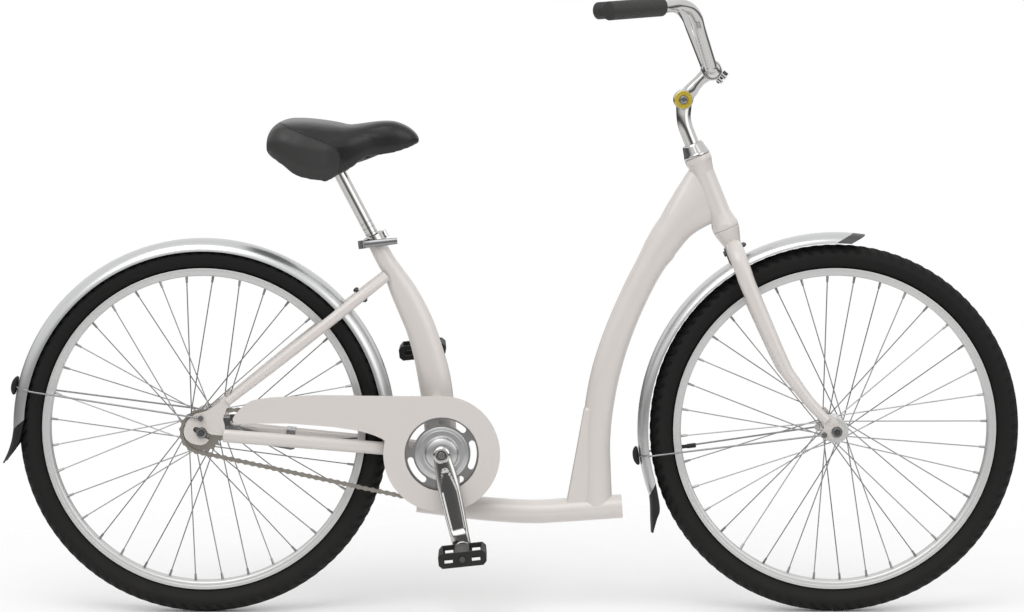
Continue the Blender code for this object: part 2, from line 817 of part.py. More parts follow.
def spindle(name):
    """The crank spindle, round in the middle and square at its ends."""
    shoulder = SHELL_WIDTH / 2 + 0.006
    square = SPINDLE_SQUARE
    bar = crossbar(name, 0, 0, -shoulder, shoulder, SPINDLE_R, 12)
    ends = []
    for side in (-1, 1):
        y0, y1 = sorted((side * (shoulder - 0.002), side * SPINDLE_HALF_LENGTH))
        ends.append(box("end", (-square, y0, -square), (square, y1, square)))
    return moved(joined(bar, *ends), turn_y=-math.radians(CRANK_ANGLE))


ARM_STATIONS = (
    (0.0, -0.0670, -0.004, 0.0150, 0.0070),
    (0.0, -0.0690, -0.030, 0.0178, 0.0070),
    (0.0, -0.0713, -0.058, 0.0193, 0.0070),
    (0.0, -0.0750, -0.100, 0.0186, 0.0067),
    (0.0, -0.0790, -0.140, 0.0168, 0.0062),
    (0.0, -0.0812, -0.170, 0.0160, 0.0058),
)
EYE_FACES = (-0.0870, -0.0753)


def crank_arm(name, hub_profile):
    """A crank that hangs straight down on the right side, from its hub's profile."""
    hub = turned(name, hub_profile, 16, closed=False)
    reach = CRANK_LENGTH / 0.170
    stations = [(x, y, z * reach, deep, thick) for x, y, z, deep, thick in ARM_STATIONS]
    arm = oval_tube("arm", stations, sides=10)
    eye = crossbar("eye", 0, -CRANK_LENGTH, *EYE_FACES, 0.0160, 14)
    recess = oval_tube("recess", [
        (0.0, -0.0775, -0.040 * reach, 0.0060, 0.0020),
        (0.0, -0.0792, -0.058 * reach, 0.0105, 0.0022),
        (0.0, -0.0824, -0.100 * reach, 0.0100, 0.0022),
        (0.0, -0.0852, -0.138 * reach, 0.0055, 0.0018),
    ], sides=8)
    square = SPINDLE_SQUARE + GAP
    socket = box("socket", (-square, -SPINDLE_HALF_LENGTH - GAP, -square), (square, 0, square))
    thread = crossbar("thread", 0, -CRANK_LENGTH, -0.10, -0.06, bore(PEDAL_AXLE_R, 10), 10)
    return cut(joined(hub, arm, eye), recess, socket, thread)


def crank_right(name):
    """The right crank, whose hub carries the chainring on a stepped disc."""
    face = -CHAIN_LINE - TOOTH_THICKNESS / 2 - GAP
    profile = [(0, -0.0760), (0.0116, -0.0760), (0.0150, -0.0745), (0.0150, -0.0595), (0.0275, -0.0570)]
    profile += [(0.0297, -0.0515), (0.0400, -0.0515), (SPIDER_R, -0.0505), (SPIDER_R, face)]
    profile += [(CRANK_HUB_R, face), (CRANK_HUB_R, -0.0445), (0, -0.0445)]
    return moved(crank_arm(name, profile), turn_y=-math.radians(CRANK_ANGLE))


def crank_left(name):
    """The left crank, half a turn from the right one."""
    profile = [(0, -0.0760), (0.0116, -0.0760), (0.0150, -0.0745), (0.0150, -0.0500), (0, -0.0500)]
    arm = crank_arm("arm_left", profile)
    other = mirrored(arm, name)
    bpy.data.objects.remove(arm)
    return moved(other, turn_y=math.pi - math.radians(CRANK_ANGLE))


def pedal_axle(name):
    """A pedal's axle along Y on the right side, screwed into the crank's eye."""
    eye_outer = EYE_FACES[0]
    profile = [(0, -PEDAL_OUTER - 0.002), (PEDAL_PIN_R, -PEDAL_OUTER - 0.002), (PEDAL_PIN_R, -0.0905)]
    profile += [(0.0085, -0.0905), (0.0085, eye_outer - GAP), (PEDAL_AXLE_R, eye_outer - GAP)]
    profile += [(PEDAL_AXLE_R, -0.0760), (0, -0.0760)]
    return turned(name, profile, 10, closed=False)


def pedal(name):
    """A moulded pedal on the right side: a frame round a solid middle, with windows in its end plates."""
    half = PEDAL_LENGTH / 2
    high = PEDAL_HEIGHT / 2
    corner = 0.006
    edge = [(corner - half, -high), (half - corner, -high), (half, corner - high), (half, high - corner)]
    edge += [(half - corner, high), (corner - half, high), (-half, high - corner), (-half, corner - high)]
    body = plate(name, [edge], -PEDAL_INNER, -PEDAL_OUTER)
    for side in (-1, 1):
        x0, x1 = sorted((side * 0.0125, side * (half - 0.0075)))
        body = cut(body, box("pocket", (x0, 0.005 - PEDAL_OUTER, -0.02), (x1, -PEDAL_INNER - 0.005, 0.02)))
        x0, x1 = sorted((side * 0.0165, side * (half - 0.0105)))
        body = cut(body, box("window", (x0, -PEDAL_OUTER - 0.01, -0.0045), (x1, 0.01 - PEDAL_INNER, 0.0045)))
    return cut(body, crossbar("hole", 0, 0, -0.2, -0.08, bore(PEDAL_PIN_R, 8), 8))


# Frame, in the bicycle's own frame

STEERING = Matrix.Translation(STEER_FOOT) @ Matrix.Rotation(-STEER, 4, "Y")
SEAT_TOP = BRACKET + Vector((-0.1196, 0.0, 0.3765))
SEATING = Matrix.Translation(SEAT_TOP) @ Matrix.Rotation(-LEAN, 4, "Y")
KEEL_STATIONS = tuple(
    (x * KEEL_SHARE, z)
    for x, z in ((-0.0437, -0.0900), (0.0584, -0.1032), (0.1532, -0.1100), (0.2296, -0.1065),
                 (0.3186, -0.1005))
)
MAIN_FOOT = BRACKET + Vector((0.2736 * KEEL_SHARE, 0.0, -0.0980))
MAIN_STATIONS = (
    (0.000, 0.000, 0.0280, 0.0205),
    (0.002, 0.130, 0.0248, 0.0200),
    (-0.003, 0.240, 0.0243, 0.0200),
    (0.030, 0.360, 0.0253, 0.0200),
    (0.135, 0.504, 0.0255, 0.0200),
    (0.319, 0.652, 0.0247, 0.0200),
    (0.566, 0.801, 0.0245, 0.0200),
    (0.800, 0.915, 0.0262, 0.0205),
)
HEAD_STATIONS = ((-0.100, 0.4275, 0.0355, 0.0210), (-0.060, 0.4537, 0.0410, 0.0190),
                 (-0.012, 0.4745, 0.0545, 0.0140))


def steering_point(forward, up):
    """A place on the centre plane, from the steering axis and up from its foot."""
    return STEER_FOOT + STEER_FORWARD * forward + STEER_UP * up


def seat_tube(name, grow=0.0):
    """The deep seat tube, straight round the post at its top and curved below, through the bottom bracket."""
    neck = SEAT_TOP - POST_UP * 0.044
    stations = [(SEAT_TOP.x, 0, SEAT_TOP.z, SEAT_TUBE_TOP_R, SEAT_TUBE_TOP_R),
                (neck.x, 0, neck.z, 0.0160, 0.0155)]
    low = ((-0.0864, 0.3170, 0.0172, 0.0158), (-0.0691, 0.2847, 0.0225, 0.0165),
           (-0.0516, 0.2492, 0.0250, 0.0172))
    low += ((-0.0366, 0.2138, 0.0258, 0.0180), (-0.0208, 0.1607, 0.0275, 0.0190),
            (-0.0103, 0.1076, 0.0285, 0.0200))
    low += ((0.0, 0.0, 0.0280, 0.0210), (0.0066, -0.0980, 0.0270, 0.0210))
    stations += [(BRACKET.x + x, 0, BRACKET.z + z, deep, wide) for x, z, deep, wide in low]
    return oval_tube(name, stations, sides=10, grow=grow)


def keel(name):
    """The low tube from the seat tube's foot to the main tube's foot."""
    stations = [(BRACKET.x + x, 0, BRACKET.z + z, KEEL_R, KEEL_R) for x, z in KEEL_STATIONS]
    return oval_tube(name, stations, sides=10)


def main_tube(name):
    """The tube that rises from the keel and sweeps forward into the head tube."""
    head = steering_point(HEAD_STATIONS[0][0], HEAD_STATIONS[0][1])
    run = head - MAIN_FOOT
    stations = [
        (MAIN_FOOT.x + run.x * x, 0, MAIN_FOOT.z + run.z * z, deep, wide) for x, z, deep, wide in MAIN_STATIONS
    ]
    stations.append((head.x, 0, head.z, HEAD_STATIONS[0][2], HEAD_STATIONS[0][3]))
    rings = oval_rings(stations, (0, 1, 0), 10)[:-1]
    for forward, up, deep, wide in HEAD_STATIONS:
        centre = steering_point(forward, up)
        rings.append(oval_ring(centre, Vector((0, 1, 0)), STEER_UP, (0, 0, 0, deep, wide), 10, 0.0))
    return loft(name, rings)


def head_tube(name):
    """The head tube's outside, flared at both ends."""
    low = HEAD_TUBE_START
    high = HEAD_TUBE_END
    profile = [(0, high), (HEAD_FLARE_R, high), (HEAD_FLARE_R, high - 0.009), (HEAD_TUBE_R, high - 0.030)]
    profile += [(HEAD_TUBE_R, low + 0.030), (HEAD_FLARE_R, low + 0.009), (HEAD_FLARE_R, low), (0, low)]
    tube = turned(name, profile, 14, axis="Z", closed=False)
    tube.data.transform(STEERING)
    return tube


def head_hollow():
    """What is bored out of the head tube: the steerer's way and the two bearing seats."""
    low = HEAD_TUBE_START
    high = HEAD_TUBE_END
    seat_r = bore(BEARING_R, 12)
    seat = BEARING_HEIGHT + GAP
    profile = [(0, high + 0.01), (seat_r, high + 0.01), (seat_r, high - seat), (HEAD_BORE_R, high - seat)]
    profile += [(HEAD_BORE_R, low + seat), (seat_r, low + seat), (seat_r, low - 0.01), (0, low - 0.01)]
    hollow = turned("hollow", profile, 12, axis="Z", closed=False)
    hollow.data.transform(STEERING)
    return hollow


def gusset(name):
    """The web in the corner between the keel and the main tube's foot."""
    x, z = MAIN_FOOT.x, MAIN_FOOT.z
    return plate(name, [[(x - 0.054, z), (x - 0.004, z), (x - 0.010, z + 0.175), (x - 0.022, z + 0.175)]],
                 0.015, -0.015)


def main_frame(name):
    """The welded main frame, with its bores."""
    shell = crossbar("shell", BRACKET.x, BRACKET.z, -SHELL_WIDTH / 2, SHELL_WIDTH / 2, SHELL_R + 0.0012, 14)
    body = joined(seat_tube(name), keel("keel"), shell)
    body = joined(body, main_tube("main_tube"), gusset("gusset"))
    body = joined(body, head_tube("head"))
    low = SEAT_TOP - POST_UP * (POST_INSERTION + SEAT_DROP + 0.010)
    high = SEAT_TOP + POST_UP * 0.020
    post_way = cylinder("post_way", low, high, bore(POST_R, 10, GAP), 10)
    bracket_way = crossbar("bracket_way", BRACKET.x, BRACKET.z, -0.06, 0.06, bore(CARTRIDGE_R, 12), 12)
    ends = []
    for index, near, deep in ((0, 1, 0.020), (-1, -2, 0.030)):
        tip = Vector((KEEL_STATIONS[index][0], 0, KEEL_STATIONS[index][1])) + BRACKET
        inward = Vector((KEEL_STATIONS[near][0], 0, KEEL_STATIONS[near][1])) + BRACKET - tip
        inward.normalize()
        ends.append(cylinder("end_way", tip - inward * 0.01, tip + inward * deep, KEEL_R - 0.0035, 10))
    return cut(body, head_hollow(), post_way, bracket_way, *ends)


def head_bearing(name, start):
    """A bearing ring in its seat in the head tube."""
    profile = [(BEARING_R, start + BEARING_HEIGHT - GAP), (BEARING_R, start)]
    profile += [(bore(STEERER_R, 12), start), (bore(STEERER_R, 12), start + BEARING_HEIGHT - GAP)]
    ring = turned(name, profile, 12, axis="Z")
    ring.data.transform(STEERING)
    return ring


DROPOUT_EDGE = ((0.012, -0.0025), (0.039, -0.0055), (0.041, 0.012), (0.037, 0.025), (0.045, 0.045),
                (0.052, 0.050), (0.040, 0.066), (0.030, 0.052), (0.008, 0.038), (-0.012, 0.033),
                (-0.026, 0.020), (-0.032, 0.003),
                (-0.029, -0.010), (-0.018, -0.019), (-0.002, -0.0225), (0.008, -0.019), (0.0125, -0.013))
EYELET = (-0.001, 0.0258)
DROPOUT_INNER = REAR_HUB_WIDTH / 2 + GAP
DROPOUT_OUTER = DROPOUT_INNER + DROPOUT_THICKNESS
SLOT_LEAN = -28.6
STAY_BRIDGE = (-0.0704, 0.003)
FENDER_BRIDGE = (0.2739, 0.2338)


def rear_dropout(name):
    """The right dropout: a plate with an open slot for the axle and a hole for the mudguard's stay."""
    edge = [(x, TYRE_R + z) for x, z in DROPOUT_EDGE]
    eyelet = circle(EYELET[0], TYRE_R + EYELET[1], bore(0.0025, 8), 8)
    body = plate(name, [edge, eyelet], -DROPOUT_INNER, -DROPOUT_OUTER)
    width = bore(REAR_AXLE_R, 12)
    back = polar(0.011, SLOT_LEAN + 180)
    front = polar(0.030, SLOT_LEAN)
    slot = arc(back[0], TYRE_R + back[1], width, SLOT_LEAN + 90, SLOT_LEAN + 270, 4)
    sides = polar(width, SLOT_LEAN - 90), polar(width, SLOT_LEAN + 90)
    slot += [(front[0] + x, TYRE_R + front[1] + z) for x, z in sides]
    return cut(body, plate("slot", [slot], -0.05, -0.07))


def chainstay_stations():
    """The right chainstay's path, from the dropout to the bottom bracket."""
    y = DROPOUT_INNER
    places = ((0.038, y + 0.0047, 0.0070), (0.060, y + 0.0037, 0.0070), (0.200, y - 0.0083, 0.0068))
    places += ((BRACKET_X - 0.090, 0.0365, 0.0060), (BRACKET_X - 0.020, 0.0220, 0.0080))
    return [(x, -side, TYRE_R - 0.0015 - BRACKET_DROP * x / BRACKET_X, 0.0115, wide) for x, side, wide in places]


def seatstay_stations():
    """The right seatstay's path, from the dropout to the seat tube."""
    y = DROPOUT_INNER
    z = TYRE_R
    top = SEAT_TOP - POST_UP * 0.0635
    stations = [(0.0456, -y - 0.0037, z + 0.054, 0.0070, 0.0065),
                (0.150, 0.0013 - y, z + 0.1361, 0.0095, 0.0070)]
    stations += [(0.245, -0.043, z + 0.2107, 0.0095, 0.0070),
                 (top.x - 0.0450, -0.034, top.z - 0.0390, 0.0095, 0.0070)]
    stations += [(top.x - 0.0080, -0.014, top.z - 0.0100, 0.0095, 0.0065)]
    return stations


def rear_stays(name):
    """Both chainstays, both seatstays, the dropouts and two bridges."""
    right = joined(
        oval_tube(name, chainstay_stations(), sides=8),
        oval_tube("seatstay", seatstay_stations(), sides=8),
        rear_dropout("dropout"),
    )
    left = mirrored(right, "left")
    bridge_x = BRACKET.x + STAY_BRIDGE[0]
    low = crossbar("low", bridge_x, BRACKET.z + STAY_BRIDGE[1], -0.034, 0.034, 0.007, 8)
    high = crossbar("high", FENDER_BRIDGE[0], TYRE_R + FENDER_BRIDGE[1], -0.037, 0.037, 0.007, 8)
    body = joined(right, left, low, high)
    around_shell = crossbar("around", BRACKET.x, BRACKET.z, -0.06, 0.06, SHELL_R + 0.0012 + GAP, 14)
    return cut(body, seat_tube("around_tube", GAP), around_shell)


def inset(points, distance):
    """An outline drawn in by a distance. The points run counter-clockwise."""
    result = []
    for index, point in enumerate(points):
        here = Vector(point)
        before = (here - Vector(points[index - 1])).normalized()
        after = (Vector(points[(index + 1) % len(points)]) - here).normalized()
        inward = Vector((-before.y - after.y, before.x + after.x)).normalized()
        stretch = max(0.5, inward.dot(Vector((-before.y, before.x))))
        result.append(tuple(here + inward * distance / stretch))
    return result


GUARD_DISC_R = 0.1025
GUARD_HOLE_R = 0.065
GUARD_BACK = 0.0520
GUARD_FACE = 0.0585
GUARD_WALL = 0.0020
GUARD_BOLT = (0.0782, 0.0255)


def guard_outline():
    """The chain guard's edge, counter-clockwise: a disc round the ring and an arm back over the chain."""
    x, z = BRACKET.x, BRACKET.z
    points = arc(x, z, GUARD_DISC_R, 166.0, 444.0, 20)
    points += [(x - 0.075, z + 0.1024), (0.1994, TYRE_R + 0.0659), (0.120, TYRE_R + 0.0615),
               (0.0864, TYRE_R + 0.0565)]
    points += [(0.0670, TYRE_R + 0.0420), (0.0534, TYRE_R + 0.0244), (0.0570, TYRE_R + 0.0160)]
    points += [(0.0658, TYRE_R + 0.0140), (0.0822, TYRE_R + 0.0161), (0.1519, TYRE_R + 0.0161)]
    points += [(0.2301, TYRE_R + 0.0099), (x - 0.1490, TYRE_R + 0.0037), (x - 0.1200, TYRE_R - 0.0040)]
    return points


def chain_guard(name):
    """A shallow pan over the chain, open behind, round the right crank's hub, with a tab to the frame."""
    edge = guard_outline()
    x, z = BRACKET.x, BRACKET.z
    body = plate(name, [edge, circle(x, z, GUARD_HOLE_R, 20)], -GUARD_BACK, -GUARD_FACE)
    around_hole = circle(x, z, GUARD_HOLE_R + GUARD_WALL, 20)
    pocket = plate("pocket", [inset(edge, GUARD_WALL), around_hole], 0.001 - GUARD_BACK,
                   GUARD_WALL - GUARD_FACE)
    body = cut(body, pocket)
    tab = box("tab", (x - 0.017, GUARD_WALL / 2 - GUARD_FACE, z + 0.0945), (x - 0.001, -0.005, z + 0.0990))
    return joined(body, cut(tab, seat_tube("around_tube", GAP)))


def guard_bracket(name):
    """The bracket that carries the guard's tail: a foot behind the dropout, a step and a boss."""
    outer = GAP - DROPOUT_INNER
    z = TYRE_R
    foot = box(name, (0.030, outer, z + 0.0115), (0.050, outer + 0.0020, z + 0.0255))
    step = box("step", (0.047, outer, z + 0.0195), (0.0515, GAP + 0.0018 - GUARD_BACK, z + 0.0255))
    leaf = box("leaf", (0.0490, GAP - GUARD_BACK, z + 0.0195),
               (0.0840, GAP + 0.0018 - GUARD_BACK, z + 0.0315))
    boss_x, boss_z = GUARD_BOLT
    tip = GUARD_WALL + GAP - GUARD_FACE
    boss = crossbar("boss", boss_x, z + boss_z, GAP + 0.001 - GUARD_BACK, tip, 0.004, 10)
    return joined(foot, step, leaf, boss)


ARM_TIP = (0.150, -0.0365)
CLIP_BOLT_R = 0.0025


def brake_arm(name):
    """The coaster brake's reaction arm, from the axle to the left chainstay."""
    tip_x, tip_z = ARM_TIP
    lean = math.degrees(math.atan2(tip_z, tip_x))
    edge = arc(0, TYRE_R, 0.0150, lean + 80, lean + 280, 8)
    edge += arc(tip_x, TYRE_R + tip_z, 0.0075, lean - 88, lean + 88, 5)
    holes = [circle(0, TYRE_R, bore(REAR_AXLE_R), 12), circle(tip_x, TYRE_R + tip_z, bore(CLIP_BOLT_R, 8), 8)]
    return plate(name, [edge, *holes], 0.0440, 0.0473)


def brake_arm_clip(name):
    """The strap round the left chainstay that holds the reaction arm, with its bolt."""
    x = ARM_TIP[0]
    z = TYRE_R + ARM_TIP[1]
    left = [(sx, -sy, sz, deep, wide) for sx, sy, sz, deep, wide in chainstay_stations()]
    band = [station for station in (interpolated(left, x - 0.008), interpolated(left, x + 0.008))]
    strap = oval_tube(name, band, sides=8, grow=0.0018)
    ears = [box("ear", (x - 0.006, 0.0422, z - 0.006), (x + 0.006, 0.0437, z + 0.020)),
            box("ear", (x - 0.006, 0.0476, z - 0.006), (x + 0.006, 0.0491, z + 0.0125))]
    bolt = crossbar("bolt", x, z, 0.0395, 0.0520, CLIP_BOLT_R, 8)
    around = oval_tube("around", left, sides=8, grow=0.00035)
    return cut(joined(strap, *ears, bolt), around)


def interpolated(stations, x):
    """The station at a place along X."""
    for before, after in zip(stations, stations[1:]):
        if before[0] <= x <= after[0]:
            share = (x - before[0]) / (after[0] - before[0])
            return tuple(a + (b - a) * share for a, b in zip(before, after))
    return stations[-1]


# Mudguards, in a frame at the wheel's centre

FRONT_FENDER_START = 85.0
FRONT_FENDER_END = 200.0
TIP_START = 81.4
REAR_FENDER_START = -6.0
REAR_FENDER_END = 180.0
FRONT_CAP_ANGLE = 187.9
REAR_CAP_ANGLE = 167.0


def shell_object(name, rows):
    """A thin shell over rows of points that run across it, thickened toward its inner side."""
    count = len(rows[0])
    points = [point for row in rows for point in row]
    faces = []
    for row in range(len(rows) - 1):
        for index in range(count - 1):
            start = row * count + index
            faces.append((start, start + 1, start + count + 1, start + count))
    obj = mesh_object(name, points, [], faces)
    solidify = obj.modifiers.new("thickness", "SOLIDIFY")
    solidify.thickness = FENDER_THICKNESS
    solidify.offset = -1.0
    return baked(obj)


def fender_row(crown_r, edge_r, angle):
    """Points across a mudguard at one angle, from its right edge over its crown to its left edge."""
    row = []
    for step in range(-2, 3):
        turn = math.radians(45 * step)
        x, z = polar(edge_r + (crown_r - edge_r) * math.cos(turn), angle)
        row.append((x, FENDER_HALF_WIDTH * math.sin(turn), z))
    return row


def fender_shell(name, crown_r, edge_r, start, end, step=14.4):
    """A mudguard's shell between two angles."""
    count = max(1, round((end - start) / step))
    angles = [start + (end - start) * index / count for index in range(count + 1)]
    return shell_object(name, [fender_row(crown_r, edge_r, angle) for angle in angles])


def mud_flap(name, crown_r, edge_r, angle, drops):
    """A flap below a mudguard's end. A drop is (x, z, half width, depth) from the end's crown."""
    x0, z0 = polar(crown_r, angle)
    rows = [fender_row(crown_r, edge_r, angle)]
    for x, z, half, deep in drops:
        row = []
        for step in range(-2, 3):
            turn = math.radians(45 * step)
            row.append((x0 + x + deep * (1 - math.cos(turn)), half * math.sin(turn), z0 + z))
        rows.append(row)
    return shell_object(name, rows)


def strap_to(name, centre_r, length, angle, half_width, half_thick):
    """A block on a mudguard's crown that stands out along its radius."""
    block = box(name, (centre_r, -half_width, -half_thick), (centre_r + length, half_width, half_thick))
    block.data.transform(Matrix.Rotation(-math.radians(angle), 4, "Y"))
    return block


def rear_fender(name):
    """The rear mudguard with its two fixing blocks, in the bicycle's frame."""
    shell = fender_shell(name, REAR_CROWN_R, REAR_EDGE_R, REAR_FENDER_START, REAR_FENDER_END)
    bridge_r = math.hypot(*FENDER_BRIDGE)
    bridge_angle = math.degrees(math.atan2(FENDER_BRIDGE[1], FENDER_BRIDGE[0]))
    foot = REAR_CROWN_R - FENDER_THICKNESS - 0.0012
    high = strap_to("high", foot, bridge_r - foot, bridge_angle, 0.009, 0.004)
    low_x = BRACKET.x + STAY_BRIDGE[0]
    low_z = BRACKET.z + STAY_BRIDGE[1] - TYRE_R
    low = box("low", (REAR_CROWN_R - 0.0035, -0.009, low_z - 0.0025), (low_x, 0.009, low_z + 0.0025))
    shell = joined(shell, high, low)
    around_high = crossbar("around", FENDER_BRIDGE[0], FENDER_BRIDGE[1], -0.03, 0.03, 0.007 + GAP, 8)
    around_low = crossbar("around", low_x, low_z, -0.03, 0.03, 0.007 + GAP, 8)
    return moved(cut(shell, around_high, around_low), REAR_AXLE)


def stay_wire(name, eyelet, eyelet_y, crown_r, edge_r, angle):
    """One bent wire from eyelet to eyelet over a mudguard, with its two eyelet bolts."""
    lift = STAY_WIRE_R + GAP * 2
    half = []
    for step in (0, 30, 60, 90):
        turn = math.radians(step)
        reach = (crown_r - edge_r + lift) / math.cos(math.radians(22.5 if 0 < step < 90 else 0))
        radius = edge_r + reach * math.cos(turn)
        side = (FENDER_HALF_WIDTH + lift + 0.0010) * math.sin(turn)
        x, z = polar(radius, angle)
        half.append((x, side, z))
    x, z = polar(edge_r - 0.012, angle)
    half.append((x, FENDER_HALF_WIDTH + lift + 0.0035, z))
    wire_y = eyelet_y + 0.0045
    half.append((eyelet[0], wire_y, eyelet[1]))
    points = [(x, -y, z) for x, y, z in reversed(half)] + half[1:]
    body = rod(name, points, STAY_WIRE_R, resolution=1)
    bolts = []
    for side in (-1, 1):
        bolts.append(crossbar("head", *eyelet, side * (eyelet_y + GAP), side * (wire_y + 0.0035), 0.0052, 6))
        bolts.append(crossbar("shank", *eyelet, side * (eyelet_y - 0.004), side * wire_y, 0.0025, 6))
    return joined(body, *bolts)


def stay_cap(name, crown_r, angle):
    """The oval cap that covers a stay where it crosses a mudguard's crown."""
    low = crown_r + GAP
    high = low + 0.0065
    half = 0.0155
    outline = [(low, half), (low, -half), (high - 0.0020, -half), (high, 0.0050 - half),
               (high, half - 0.0050)]
    outline.append((high - 0.0020, half))
    body = plate(name, [outline], -0.0085, 0.0085)
    channel = box("channel", (low - 0.001, -0.02, -0.0026), (low + 0.0049, 0.02, 0.0026))
    body = cut(body, channel)
    body.data.transform(Matrix.Rotation(-math.radians(angle), 4, "Y"))
    return body


# Fork, headset and stem, in the steering axis's frame: x forward of it, z up along it

BLADE = (
    (0.000, 0.3670, 0.0000, 0.0140, 0.0150),
    (0.020, 0.3640, 0.0000, 0.0135, 0.0150),
    (0.038, 0.3480, -0.0005, 0.0125, 0.0148),
    (0.0455, 0.3220, -0.0015, 0.0115, 0.0145),
    (0.0475, 0.2900, -0.0025, 0.0110, 0.0142),
    (0.0500, 0.1500, 0.0020, 0.0100, 0.0120),
    (0.0507, 0.1140, 0.0080, 0.0095, 0.0110),
    (0.0518, 0.0590, 0.0230, 0.0085, 0.0095),
    (0.0528, 0.0250, 0.0370, 0.0078, 0.0085),
)
FORK_EYELET = (-0.0225, 0.0042)
CROWN_BOLT_UP = 0.360


def fork_blades(name):
    """Both blades and the arch between them, as one bent tube."""
    y_shift = FRONT_HUB_WIDTH / 2 - 0.050
    f_scale = FORK_RAKE / 0.0455
    left = [(f * f_scale, y + y_shift if y else 0.0, s, thick, deep) for y, s, f, thick, deep in BLADE]
    right = [(x, -y, z, thick, deep) for x, y, z, thick, deep in left[1:]]
    return oval_tube(name, list(reversed(right)) + left, across=(1, 0, 0), sides=8)


def fork_dropout(name):
    """The right fork end: a plate with a slot open below and an eye for the mudguard's stay."""
    x = FORK_RAKE
    edge = [(x - 0.030, 0.004), (x - 0.0275, -0.0015), (x - 0.0235, -0.0030), (x - 0.0080, -0.0106),
            (x, -0.0130)]
    edge += [(x + 0.0065, -0.0113), (x + 0.0115, -0.0065), (x + 0.0130, 0.0), (x + 0.0115, 0.007)]
    edge += [(x + 0.0020, 0.034), (x - 0.0150, 0.034), (x - 0.0180, 0.015), (x - 0.0230, 0.0115),
             (x - 0.0280, 0.009)]
    eye = circle(x + FORK_EYELET[0], FORK_EYELET[1], bore(0.0025, 8), 8)
    inner = FRONT_HUB_WIDTH / 2 + GAP
    body = plate(name, [edge, eye], -inner, -inner - DROPOUT_THICKNESS)
    width = bore(FRONT_AXLE_R, 12)
    slot = arc(x, 0, width, 0, 180, 4) + [(x - width, -0.03), (x + width, -0.03)]
    return cut(body, plate("slot", [slot], -0.03, -0.08))


def fork(name):
    """The steerer, crown, blades and fork ends as one welded fork."""
    hollow = bore(QUILL_R, 12)
    profile = [(0, 0.455), (hollow, 0.455), (hollow, STEERER_TOP), (STEERER_R, STEERER_TOP),
               (STEERER_R, CROWN_TOP)]
    profile += [(0.0232, CROWN_TOP), (0.0205, 0.3880), (0.0160, 0.3740), (0, 0.3740)]
    steerer = turned(name, profile, 12, axis="Z", closed=False)
    right = fork_dropout("right")
    left = mirrored(right, "left")
    body = joined(steerer, fork_blades("blades"), right, left)
    return cut(body, cylinder("bolt_way", (-0.030, 0, CROWN_BOLT_UP), (-0.007, 0, CROWN_BOLT_UP),
                              bore(0.0025, 8), 8))


def headset_cone(name):
    """The cone that closes the top of the steering bearing round the quill."""
    wide = bore(STEERER_R, 12)
    slim = bore(QUILL_R, 12)
    base = HEAD_TUBE_END + 0.0004
    profile = [(slim, STEERER_TOP + 0.004), (slim, STEERER_TOP + GAP), (wide, STEERER_TOP + GAP),
               (wide, base)]
    profile += [(0.0230, base), (0.0230, base + 0.005), (0.0175, STEERER_TOP + 0.004)]
    return turned(name, profile, 12, axis="Z")


STEM_EYE_R = 0.017
LUG_HALF = 0.010
CHEEK_OUTER = 0.017
PIVOT_BOLT_R = 0.004


def stem_quill(name):
    """The round quill, its bent neck and the pivot lug on top."""
    x, z = STEM_PIVOT
    stations = [(0, 0, 0.470, QUILL_R, QUILL_R), (0, 0, 0.598, QUILL_R, QUILL_R)]
    stations += [(0.004, 0, 0.612, 0.0120, 0.0110), (0.0105, 0, 0.627, 0.0115, LUG_HALF - 0.0005)]
    post = oval_tube(name, stations, sides=12)
    lug = crossbar("lug", x, z, -LUG_HALF, LUG_HALF, STEM_EYE_R, 14)
    hole = crossbar("hole", x, z, -0.02, 0.02, bore(PIVOT_BOLT_R, 6), 6)
    return cut(joined(post, lug), hole)


CLAMP_R = 0.018
CLAMP_HALF = 0.0185
EAR_ANGLE = -62.0
EAR_BOLT_R = 0.003
EAR_REACH = 0.0225
EAR_HALF = 0.0085


def bar_offset():
    """From the stem's pivot to the bar's centre."""
    return BAR_CENTRE[0] - STEM_PIVOT[0], BAR_CENTRE[1] - STEM_PIVOT[1]


